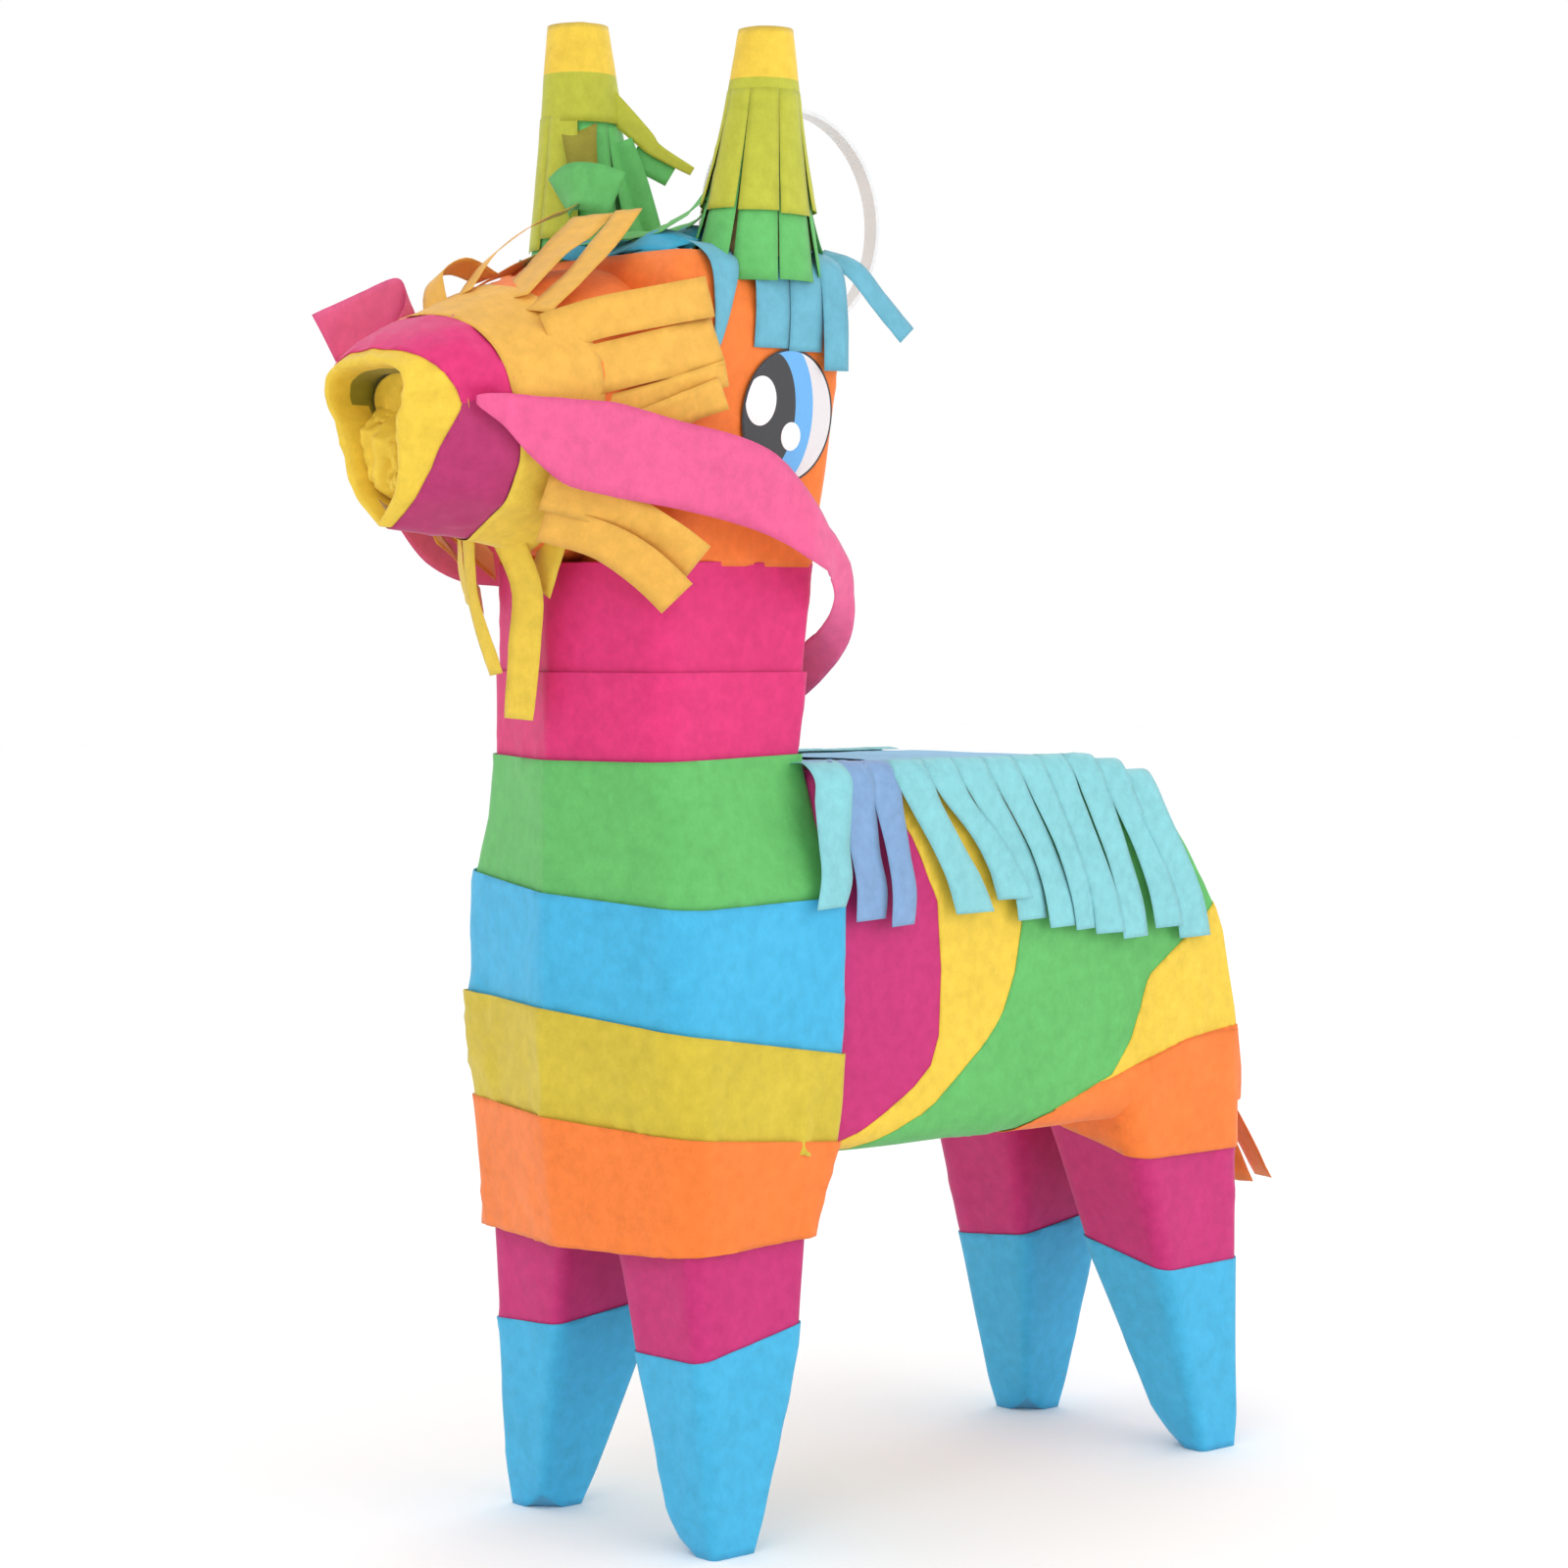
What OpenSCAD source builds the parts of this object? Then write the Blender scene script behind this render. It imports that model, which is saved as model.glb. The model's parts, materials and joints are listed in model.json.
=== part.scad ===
// Small standing donkey pinata: a hollow cardboard animal wrapped in bands of tissue paper.
// It faces -Y, its own left side is +X, and its feet stand on z = 0.
// Fore and aft places are counted from the line of the front feet, towards the rump.

/* [Stance] */
// From the bounding box centre forward to the line of the front feet
front_line = 75.5; // [75.5:0.5:76]
// From the front feet back to the middle of the rear feet
rear_feet = 191; // [188:1:193]
// Middle of a foot out from the centre plane
foot_out = 36; // [35:1:37]
// Width and depth of the underside of a foot
foot_size = 15; // [14:1:17]

/* [Chest and neck] */
// Half the width of the chest
chest_half = 46.5; // [46:0.5:47]
// Half the width of the neck
neck_half = 34; // [33:0.5:35]
// How far the folded front of the chest stands out past its corners
keel = 10; // [8:1:11]
// Height of the underside of the chest
chest_bottom = 77; // [76:1:78]
// Height at which the neck begins
neck_base = 203; // [202:1:205]
// Height at which the head begins
neck_top = 253; // [252:1:255]

/* [Barrel] */
// Half the width of the barrel
barrel_half = 43; // [42:0.5:43]
// Height of the belly
belly_z = 101; // [100:1:102]
// Height of the back
back_z = 203; // [202:1:204]
// From the front feet to the rump
rump_at = 198; // [197:1:200]

/* [Head] */
// Half the width of the head at its widest
head_half = 43; // [42:0.5:43]
// Height of the widest part of the head
head_wide_z = 320; // [319:1:321]
// Height of the top of the head
head_top = 335; // [334:1:336]
// From the front feet forward to the end of the snout
snout_reach = 75; // [72:1:75]
// Height of an ear above the top of the head
ear_height = 62; // [56:1:63]
// Middle of an ear out from the centre plane
ear_out = 32; // [31:1:33]

/* [Fill flap] */
// Length of the flap in the back
flap_l = 44; // [40:1:45]
// Width of the flap
flap_w = 56; // [48:1:60]

/* [Hanging tie] */
// Width of the nylon strap
tie_w = 4.8; // [4.6:0.1:4.8]
// Thickness of the nylon strap
tie_t = 1.2; // [1.1:0.1:1.3]
// Radius of the open loop
loop_r = 30; // [28:1:31]

/* [Sheet thickness] */
// Corrugated board
board = 2.5; // [2.3:0.1:2.6]
// A wrap of tissue paper with its glue
paper = 0.6; // [0.5:0.1:0.6]

/* [Hidden] */
// Bearing clearance between a wrap and the board behind it
slack = 1;
// Hairline between two wraps that follow each other
seam = 0.3;
// Room round the flap in its opening
flap_gap = 0.6;
// How far the tissue on the flap reaches past its board
flap_over = 2;
// Blunt front corner of the chest and neck
corner = 6;
// Small blunting on the other board corners
nick = 2;

// Heights where the colour of the wraps changes
z_foot = 52;
z_orange = chest_bottom;
z_yellow = 106;
z_blue = 133;
z_green = 170;
z_pink = neck_base;
z_neck_seam = 226;
z_rear_foot = 57;

// Places of the slanting edges between the barrel wraps, at mid height
s_pink = 68;
s_green = 98;
s_rump = 152;
band_lean = 24;
barrel_from = 40.6;

// Front face of the head and the start of the snout
head_front = -14;
snout_from = head_front - paper - 0.4;

// Where the tie goes round the upper rear edge of the head
pin_s = 36.5;
pin_z = head_top - 6.5;
pin_r = 9;
loop_s = pin_s + 25;
loop_z = pin_z + 23;
slot_half = 3.4;

// Fill flap: front edge, hinge line
flap_from = 62;
hinge_s = flap_from + flap_l;

// Column of chest and neck: height, half width, front corner, rear
COLUMN = [
  [chest_bottom, chest_half - 2, -13, 30],
  [110, chest_half - 0.5, -14.5, 38],
  [140, chest_half, -16, 39.5],
  [172, chest_half - 1, -15, 39],
  [188, neck_half + 4, -14, 35],
  [neck_base, neck_half + 1.5, -14, 32.5],
  [neck_top, neck_half, -13, 38]
];

// Front leg: height, inner side, outer side, front, rear
FRONT_LEG = [
  [0, foot_out - foot_size / 2, foot_out + foot_size / 2, -4, foot_size - 4],
  [z_foot, 16, 43, -9, 26],
  [chest_bottom, 11, 44.2, -12, 29.5]
];

// Rear leg, counted the same way
REAR_LEG = [
  [0, foot_out - foot_size / 2, foot_out + foot_size / 2, rear_feet - foot_size / 2, rear_feet + foot_size / 2],
  [z_rear_foot, 13, barrel_half - 0.5, 166, rump_at - 0.5],
  [belly_z, 7, barrel_half - 0.3, 152, rump_at - 1]
];

// Head: height, half width, front, rear
HEAD = [
  [neck_top, neck_half + 1, head_front, 38.5],
  [head_wide_z, head_half, head_front, 43],
  [head_top, head_half - 4, head_front, 38]
];

// Side outline of the rump, from the back down to the belly
RUMP = [
  [140, back_z],
  [162, 194],
  [175, 178],
  [191, 156],
  [rump_at - 1, 126],
  [rump_at, belly_z]
];

// Fore and aft place in the part's frame
function at(s) = s - front_line;

// One column of a table, read at any height
function read(table, z, i) = lookup(z, [for (row = table) [row[0], row[i]]]);

// Heights of a table that lie between two heights, with both ends
function steps(table, z0, z1) =
  concat([z0], [for (row = table) if (row[0] > z0 + 0.01 && row[0] < z1 - 0.01) row[0]], [z1]);

// Closed solid through a row of rings with equal numbers of points
module loft(rings) {
  n = len(rings[0]);
  m = len(rings);
  points = [for (ring = rings) for (p = ring) p];
  low = [for (i = [0 : n - 1]) i];
  high = [for (i = [n - 1 : -1 : 0]) (m - 1) * n + i];
  sides = [
    for (k = [0 : m - 2])
      for (i = [0 : n - 1])
        let (a = k * n + i, b = k * n + (i + 1) % n)
          for (f = [[a, a + n, b + n], [a, b + n, b]]) f
  ];
  polyhedron(points, concat([low, high], sides));
}

// Mirrored copy for the right side when side is -1
module sided(side) {
  if (side > 0) {
    children();
  } else {
    mirror([1, 0, 0]) children();
  }
}

function column_ring(z, grow) =
  let (
    h = read(COLUMN, z, 1) + grow,
    f = read(COLUMN, z, 2) - grow,
    r = read(COLUMN, z, 3) + grow,
    k = f - keel,
    c = f - keel * corner / h
  ) [
    for (p = [
      [0, k], [h - corner, c], [h, f + corner], [h, r - nick], [h - nick, r],
      [nick - h, r], [-h, r - nick], [-h, f + corner], [corner - h, c]
    ]) [p[0], at(p[1]), z]
  ];

module column(z0, z1, grow) {
  loft([for (z = steps(COLUMN, z0, z1)) column_ring(z, grow)]);
}

module column_wall(z0, z1, outer, inner) {
  difference() {
    column(z0, z1, outer);
    column(z0 - 1, z1 + 1, inner);
  }
}

function leg_ring(table, z, grow) =
  let (
    a = read(table, z, 1) - grow,
    b = read(table, z, 2) + grow,
    f = read(table, z, 3) - grow,
    r = read(table, z, 4) + grow
  ) [for (p = [[a, f], [b, f], [b, r], [a, r]]) [p[0], at(p[1]), z]];

module leg(table, z0, z1, grow) {
  loft([for (z = steps(table, z0, z1)) leg_ring(table, z, grow)]);
}

// Board tube of a leg, closed at its foot
module leg_tube(table, top, side) {
  color("tan") sided(side) difference() {
    leg(table, paper + 0.2, top, -slack);
    leg(table, paper + 0.2 + board, top + 1, -slack - board);
  }
}

// Cup of tissue round a foot, which the part stands on
module foot_wrap(table, top, side) {
  color("deepskyblue") sided(side) difference() {
    leg(table, 0, top, 0);
    leg(table, paper, top + 1, -paper);
  }
}

module leg_wrap(table, z0, z1, side) {
  color("mediumvioletred") sided(side) difference() {
    leg(table, z0, z1, 0);
    leg(table, z0 - 1, z1 + 1, -paper);
  }
}

module chest_tube() {
  color("tan") column_wall(chest_bottom + board, neck_base, -slack, -slack - board);
}

module neck_tube() {
  color("tan") column_wall(neck_base, neck_top, -slack, -slack - board);
}

// Plate under the chest that the front legs are glued to
module chest_floor() {
  color("tan") column(chest_bottom, chest_bottom + board, -slack);
}

module chest_wrap(tint, z0, z1) {
  color(tint) column_wall(z0, z1 - seam, 0, -paper);
}

function barrel_outline() = concat(
  [[barrel_from, belly_z], [barrel_from, back_z]],
  RUMP
);

// Solid with the barrel's side outline, grown on the outside
module barrel_block(half, grow) {
  translate([-half, 0, 0])
    rotate([90, 0, 90])
      linear_extrude(2 * half)
        offset(delta = grow)
          polygon([for (p = barrel_outline()) [at(p[0]), p[1]]]);
}

module flank(side) {
  color("tan") sided(side) intersection() {
    barrel_block(barrel_half, -slack);
    translate([barrel_half - slack - board, at(0), 0]) cube([board, 2 * rump_at, head_top]);
  }
}

// Inside of the barrel between the two flanks
module between_flanks() {
  inner = barrel_half - slack - board - 0.05;
  translate([-inner, at(0), 0]) cube([2 * inner, 2 * rump_at, head_top]);
}

module belly_panel() {
  color("tan") intersection() {
    barrel_block(barrel_half, -slack);
    between_flanks();
    translate([-barrel_half, at(0), belly_z]) cube([2 * barrel_half, 2 * rump_at, slack + board]);
  }
}

module rump_panel() {
  color("tan") intersection() {
    difference() {
      barrel_block(barrel_half, -slack);
      barrel_block(barrel_half, -slack - board);
    }
    between_flanks();
    translate([-barrel_half, at(RUMP[0][0] + board), belly_z + slack + board + 0.05])
      cube([2 * barrel_half, rump_at, head_top]);
  }
}

module back_panel() {
  top = back_z - slack;
  inner = barrel_half - slack - board - 0.05;
  color("tan") difference() {
    translate([-inner, at(barrel_from + slack), top - board])
      cube([2 * inner, RUMP[0][0] - barrel_from - slack, board]);
    translate([-flap_w / 2 - flap_gap, at(flap_from - flap_gap), top - board - 1])
      cube([flap_w + 2 * flap_gap, flap_l + 2 * flap_gap, board + 2]);
  }
}

// Board flap that closes the fill opening
module fill_flap() {
  color("burlywood")
    translate([-flap_w / 2, at(flap_from), back_z - slack - board])
      cube([flap_w, flap_l, board]);
}

// Tissue on the flap
module flap_sheet() {
  color("lightskyblue")
    translate([-flap_w / 2 - flap_over, at(flap_from - flap_over), back_z])
      cube([flap_w + 2 * flap_over, flap_l + flap_over, paper]);
}

// Tissue on the rest of the back, slit round the flap
module back_sheet() {
  half = barrel_half - 9;
  from = barrel_from + 3;
  edge = flap_over + seam;
  color("lightskyblue") difference() {
    translate([-half, at(from), back_z]) cube([2 * half, RUMP[0][0] - from, paper]);
    translate([-flap_w / 2 - edge, at(flap_from - edge), back_z - 1])
      cube([flap_w + 2 * edge, flap_l + edge + seam, paper + 2]);
  }
}

// Skin of tissue on the flanks, the belly and the rump, open over the back and round the rear legs
module barrel_skin() {
  difference() {
    barrel_block(barrel_half, 0);
    barrel_block(barrel_half - paper, -paper);
    translate([-barrel_half, at(0), back_z - 2 * slack])
      cube([2 * barrel_half, RUMP[0][0] + slack, 3 * slack]);
    translate([paper - barrel_half, at(barrel_from) - 1, belly_z + paper])
      cube([2 * (barrel_half - paper), slack + board, back_z - belly_z]);
    for (side = [-1, 1]) sided(side) leg(REAR_LEG, 20, belly_z + 0.2, 0.3);
  }
}

// Slab between two leaning planes, which cuts one band out of the barrel skin
module band_slab(s0, s1) {
  mid = (belly_z + back_z) / 2;
  reach = 70;
  translate([-2 * barrel_half, 0, 0])
    rotate([90, 0, 90])
      linear_extrude(4 * barrel_half)
        polygon([
          [at(s0 - band_lean), mid - reach],
          [at(s1 - band_lean), mid - reach],
          [at(s1 + band_lean), mid + reach],
          [at(s0 + band_lean), mid + reach]
        ]);
}

module barrel_wrap(tint, s0, s1) {
  color(tint) intersection() {
    barrel_skin();
    band_slab(s0, s1 - seam);
  }
}

// The rump band is split at this height into a yellow and an orange wrap
module rump_wrap(tint, z0, z1) {
  color(tint) intersection() {
    barrel_skin();
    band_slab(s_rump, 2 * rump_at);
    translate([-barrel_half, at(0), z0]) cube([2 * barrel_half, 2 * rump_at, z1 - z0]);
  }
}

// Fringe of strips that hangs from the ridge of the back over one flank
module back_fringe(side) {
  from = barrel_from + 1;
  long = 122;
  out = barrel_half + 0.8;
  drop = 44;
  lift = back_z + 2 * paper;
  color("aquamarine") sided(side) {
    translate([out, at(from), lift - drop]) cube([paper, long, drop + paper]);
    translate([barrel_half - 8.5, at(from), lift]) cube([8.5 + 0.8, long, paper]);
  }
}

function head_ring(z, grow) =
  let (
    h = read(HEAD, z, 1) + grow,
    f = read(HEAD, z, 2) - grow,
    r = read(HEAD, z, 3) + grow
  ) [for (p = [[-h, f], [h, f], [h, r], [-h, r]]) [p[0], at(p[1]), z]];

// Head block from the neck to its top, grown on all sides but the bottom
module head_block(grow) {
  loft([for (row = HEAD) [for (p = head_ring(row[0], grow)) [p[0], p[1], row[0] + (row[0] > neck_top ? grow : 0)]]]);
}

// Two slots that the tie passes through, above and behind the edge of the head
module tie_slots() {
  translate([-slot_half, at(pin_s - 19.5), pin_z]) cube([2 * slot_half, 14.8, 12]);
  translate([-slot_half, at(pin_s + 1), pin_z - 17.8]) cube([2 * slot_half, 13, 13.3]);
}

module head_shell() {
  color("tan") difference() {
    head_block(-slack);
    translate([0, 0, -0.01]) head_block(-slack - board);
    tie_slots();
  }
}

module head_wrap() {
  color("darkorange") difference() {
    head_block(0);
    translate([0, 0, -0.01]) head_block(-paper);
    tie_slots();
  }
}

// Snout section: rounded over the top and drawn to a point below
function snout_ring(s, grow) =
  let (
    u = (head_front - s) / (head_front + snout_reach),
    half = 37 - 19 * u + grow,
    low = 257 + 6 * u - grow,
    high = 334 - 26 * u + grow,
    waist = low + 0.62 * (high - low),
    crown = [for (a = [0 : 22.5 : 180]) [half * cos(a), waist + (high - waist) * sin(a)]],
    chin = [[-half * 0.62, low + 0.22 * (high - low)], [0, low], [half * 0.62, low + 0.22 * (high - low)]]
  ) [for (p = concat(crown, chin)) [p[0], at(s), p[1]]];

module snout(s0, s1, grow) {
  loft([snout_ring(s0, grow), snout_ring(s1, grow)]);
}

module snout_wall(s0, s1, outer, inner) {
  difference() {
    snout(s0, s1, outer);
    snout(s0 + 1, s1 - 1, inner);
  }
}

module snout_tube() {
  color("tan") snout_wall(snout_from, -snout_reach + 1, -slack, -slack - board);
}

module snout_band(tint, s0, s1) {
  color(tint) snout_wall(s0 - seam, s1, 0, -paper);
}

// Crumpled tissue pushed into the open snout
module muzzle_tissue() {
  color("gold") snout(-snout_reach + 26, -snout_reach + 14, -slack - board - 1);
}

// Flared collar of cut strips round the root of the snout, with the strips that lie beside the head
module face_fringe() {
  front = -46;
  rear = snout_from - 0.3;
  color("goldenrod") {
    difference() {
      loft([snout_ring(rear, 9), snout_ring(front, 1.8)]);
      loft([snout_ring(rear + 1, 8.2), snout_ring(front - 1, 0.7)]);
      translate([-head_half, at(-31), neck_top - 14]) cube([2 * head_half, 18, 18]);
    }
    for (side = [-1, 1]) sided(side)
      translate([head_half + 1.6, at(rear + 0.4), 272]) cube([1, 16, 50]);
  }
}

// Strips that hang under the chin
module chin_fringe() {
  color("goldenrod") for (x = [-13, -2, 7])
    translate([x, at(-33), 216]) cube([6, 1, 36]);
}

// Oval sticker on the side of the head
module eye(side) {
  lean = atan((head_half - neck_half - 1) / (head_wide_z - neck_top));
  color("whitesmoke") sided(side)
    translate([neck_half + 1 + (295 - neck_top) * tan(lean) + 0.25, at(23), 295])
      rotate([0, lean, 0])
        rotate([90, 0, 90])
          linear_extrude(0.4)
            polygon([for (a = [0 : 10 : 350]) [15.5 * cos(a), 17.3 * sin(a)]]);
}

// Ear section: an oval that narrows towards the tip
function ear_ring(z, grow) =
  let (
    u = (z - head_top) / ear_height,
    a = 12 - 5.5 * u + grow,
    b = 16.5 - 10 * u + grow
  ) [for (t = [0 : 30 : 330]) [ear_out + a * cos(t), at(19) + b * sin(t), z]];

module ear_part(z0, z1, grow) {
  loft([ear_ring(z0, grow), ear_ring(z1, grow)]);
}

module ear_cone(side) {
  color("tan") sided(side) difference() {
    ear_part(head_top + 0.1, head_top + ear_height, -paper - 0.4);
    ear_part(head_top - 1, head_top + ear_height + 1, -paper - 1.6);
  }
}

module ear_yellow(side) {
  tip = head_top + ear_height + 0.2;
  color("gold") sided(side) difference() {
    ear_part(head_top + 18 + seam, tip + paper, 0);
    ear_part(head_top + 17, tip, -paper);
  }
}

module ear_green(side) {
  color("mediumseagreen") sided(side) difference() {
    ear_part(head_top + 0.1, head_top + 18, 0);
    ear_part(head_top - 1, head_top + 19, -paper);
  }
}

// Strips that hang from the root of the ear over the side of the head
module ear_blue(side) {
  color("deepskyblue") sided(side)
    translate([head_half + 0.3, at(4), 313]) cube([paper, 31, 21]);
}

module crown_tissue() {
  color("mediumseagreen")
    translate([-17, at(-10), head_top + 0.1]) cube([34, 22, 1.5]);
}

// Paper strips that fan out from the rump
module tail_strips() {
  color("darkorange") for (x = [-19, -6, 7])
    loft([for (p = [[rump_at + 27, 68], [rump_at + 14, 98], [rump_at + 0.8, 126]])
      [[x, at(p[0]), p[1]], [x + 12, at(p[0]), p[1]], [x + 12, at(p[0] + 1.2), p[1]], [x, at(p[0] + 1.2), p[1]]]
    ]);
}

// Middle line of the rein on one side, from the snout to behind the neck, with half its width
REIN = [
  [27.5, -56, 289, 3], [38, -40, 287, 8], [46, -26, 285, 10], [52.5, -12, 282, 11], [54.5, 2, 279, 12],
  [54, 15, 275, 12], [52, 27, 267, 12], [49, 37, 256, 11], [44, 46, 244, 10], [33, 53, 232, 9],
  [17, 57, 225, 8.5], [0, 58.5, 222.5, 8.5]
];

// The same line on both sides, joined behind the neck
function rein_route() = concat(REIN, [for (i = [len(REIN) - 2 : -1 : 0]) [-REIN[i][0], REIN[i][1], REIN[i][2], REIN[i][3]]]);

// Ribbon that stands on edge along its route
module reins() {
  route = rein_route();
  n = len(route);
  color("hotpink") loft([
    for (i = [n - 1 : -1 : 0])
      let (
        p = route[i],
        a = route[max(i - 1, 0)],
        b = route[min(i + 1, n - 1)],
        d = [b[0] - a[0], b[1] - a[1]],
        q = [-d[1], d[0]] / norm(d) * paper / 2
      ) [
        [p[0] - q[0], at(p[1]) - q[1], p[2] - p[3]],
        [p[0] + q[0], at(p[1]) + q[1], p[2] - p[3]],
        [p[0] + q[0], at(p[1]) + q[1], p[2] + p[3]],
        [p[0] - q[0], at(p[1]) - q[1], p[2] + p[3]]
      ]
  ]);
}

// Outline round the head's edge and the open loop, at a distance from the strap's middle
module tie_outline(grow) {
  hull() {
    translate([at(pin_s), pin_z]) circle(r = pin_r + grow, $fn = 32);
    translate([at(loop_s), loop_z]) circle(r = loop_r + grow, $fn = 64);
  }
}

// Nylon tie with its lock inside the head
module hanging_tie() {
  lock = [5, 6.4, 4.6];
  color("white") {
    rotate([90, 0, 90])
      translate([0, 0, -tie_w / 2])
        linear_extrude(tie_w)
          difference() {
            tie_outline(tie_t / 2);
            tie_outline(-tie_t / 2);
          }
    translate([0, at(pin_s), pin_z])
      rotate([-45, 0, 0])
        translate([-lock[0] / 2, -lock[1] / 2, -pin_r - lock[2] + tie_t / 4])
          cube(lock);
  }
}

chest_tube();
neck_tube();
chest_floor();
flank(1);  // flank_left
flank(-1);  // flank_right
back_panel();
belly_panel();
rump_panel();
head_shell();
snout_tube();
ear_cone(1);  // ear_cone_left
ear_cone(-1);  // ear_cone_right
leg_tube(FRONT_LEG, chest_bottom, 1);  // leg_front_left
leg_tube(FRONT_LEG, chest_bottom, -1);  // leg_front_right
leg_tube(REAR_LEG, belly_z, 1);  // leg_rear_left
leg_tube(REAR_LEG, belly_z, -1);  // leg_rear_right
fill_flap();
flap_sheet();
hanging_tie();
chest_wrap("deeppink", z_neck_seam, neck_top);  // neck_wrap_upper
chest_wrap("deeppink", z_pink, z_neck_seam);  // neck_wrap_lower
chest_wrap("mediumseagreen", z_green, z_pink);  // chest_wrap_green
chest_wrap("deepskyblue", z_blue, z_green);  // chest_wrap_blue
chest_wrap("gold", z_yellow, z_blue);  // chest_wrap_yellow
chest_wrap("darkorange", z_orange, z_yellow);  // chest_wrap_orange
leg_wrap(FRONT_LEG, z_foot + seam, chest_bottom - seam, 1);  // leg_wrap_front_left
leg_wrap(FRONT_LEG, z_foot + seam, chest_bottom - seam, -1);  // leg_wrap_front_right
leg_wrap(REAR_LEG, z_rear_foot + seam, belly_z - seam, 1);  // leg_wrap_rear_left
leg_wrap(REAR_LEG, z_rear_foot + seam, belly_z - seam, -1);  // leg_wrap_rear_right
foot_wrap(FRONT_LEG, z_foot, 1);  // foot_wrap_front_left
foot_wrap(FRONT_LEG, z_foot, -1);  // foot_wrap_front_right
foot_wrap(REAR_LEG, z_rear_foot, 1);  // foot_wrap_rear_left
foot_wrap(REAR_LEG, z_rear_foot, -1);  // foot_wrap_rear_right
barrel_wrap("mediumvioletred", barrel_from - 50, s_pink);  // barrel_wrap_pink
barrel_wrap("gold", s_pink, s_green);  // barrel_wrap_yellow
barrel_wrap("mediumseagreen", s_green, s_rump);  // barrel_wrap_green
rump_wrap("gold", 125, back_z + 1);  // rump_wrap_yellow
rump_wrap("darkorange", belly_z - 1, 125 - seam);  // rump_wrap_orange
back_sheet();
back_fringe(1);  // back_fringe_left
back_fringe(-1);  // back_fringe_right
head_wrap();
snout_band("gold", -snout_reach + 10, -snout_reach);  // muzzle_wrap_yellow
snout_band("deeppink", -snout_reach + 26, -snout_reach + 10);  // muzzle_wrap_pink
snout_band("gold", snout_from, -snout_reach + 26);  // snout_wrap
muzzle_tissue();
face_fringe();
chin_fringe();
eye(1);  // eye_left
eye(-1);  // eye_right
ear_yellow(1);  // ear_yellow_left
ear_yellow(-1);  // ear_yellow_right
ear_green(1);  // ear_green_left
ear_green(-1);  // ear_green_right
ear_blue(1);  // ear_blue_left
ear_blue(-1);  // ear_blue_right
crown_tissue();
tail_strips();
reins();
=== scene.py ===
import json
import math
import random

import bmesh
import bpy
from bpy.props import FloatProperty, FloatVectorProperty, IntProperty, PointerProperty
from mathutils import Matrix, Vector, noise


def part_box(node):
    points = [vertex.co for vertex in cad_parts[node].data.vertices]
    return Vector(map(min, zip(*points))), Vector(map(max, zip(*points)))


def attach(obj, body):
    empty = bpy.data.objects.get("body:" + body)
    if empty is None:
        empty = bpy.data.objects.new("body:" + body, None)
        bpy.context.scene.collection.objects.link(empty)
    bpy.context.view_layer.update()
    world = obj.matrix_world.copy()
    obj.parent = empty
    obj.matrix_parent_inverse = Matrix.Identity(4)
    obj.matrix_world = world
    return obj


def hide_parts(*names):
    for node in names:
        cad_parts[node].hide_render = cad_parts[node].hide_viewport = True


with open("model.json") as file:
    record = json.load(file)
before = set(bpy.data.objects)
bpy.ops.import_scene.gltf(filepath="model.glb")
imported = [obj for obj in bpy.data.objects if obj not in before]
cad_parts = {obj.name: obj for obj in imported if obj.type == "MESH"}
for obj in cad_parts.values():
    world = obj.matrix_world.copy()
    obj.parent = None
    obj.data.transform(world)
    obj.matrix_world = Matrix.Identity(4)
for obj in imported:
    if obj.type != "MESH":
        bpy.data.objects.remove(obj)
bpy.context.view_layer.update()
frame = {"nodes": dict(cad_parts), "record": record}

bl_info = {
    "name": "Tissue paper pinata",
    "version": (1, 0, 0),
    "blender": (4, 5, 0),
    "location": "View3D > Sidebar > Pinata",
    "description": "Wraps a cardboard donkey frame in tissue bands, fringes, reins, stickers and a hanging tie",
    "category": "Object",
}

MM = 0.001

# The line of the front feet: the eye sticker is centred 23 mm behind it.
EYE_BACK = 23 * MM
EYE_LOW, EYE_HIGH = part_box("eye_left")
FEET_LINE = (EYE_LOW.y + EYE_HIGH.y) / 2 - EYE_BACK


def spot(across, back, height):
    """A point from its distances in millimetres: out to the animal's left, back from the front feet, and up."""
    return Vector((across * MM, FEET_LINE + back * MM, height * MM))


def linear(red, green, blue):
    """A display colour from 0 to 255 as the linear colour that a shader takes."""
    out = []
    for part in (red, green, blue):
        c = part / 255
        out.append(c / 12.92 if c <= 0.04045 else ((c + 0.055) / 1.055) ** 2.4)
    return tuple(out)


def blend_rows(table, where):
    """Reads a table of rows (place, value, value, ...) at any place, on straight lines between the rows."""
    if where <= table[0][0]:
        return table[0][1:]
    for low, high in zip(table, table[1:]):
        if where <= high[0]:
            t = (where - low[0]) / (high[0] - low[0])
            return tuple(a + (b - a) * t for a, b in zip(low[1:], high[1:]))
    return table[-1][1:]


# ---------------------------------------------------------------- mesh helpers


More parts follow.
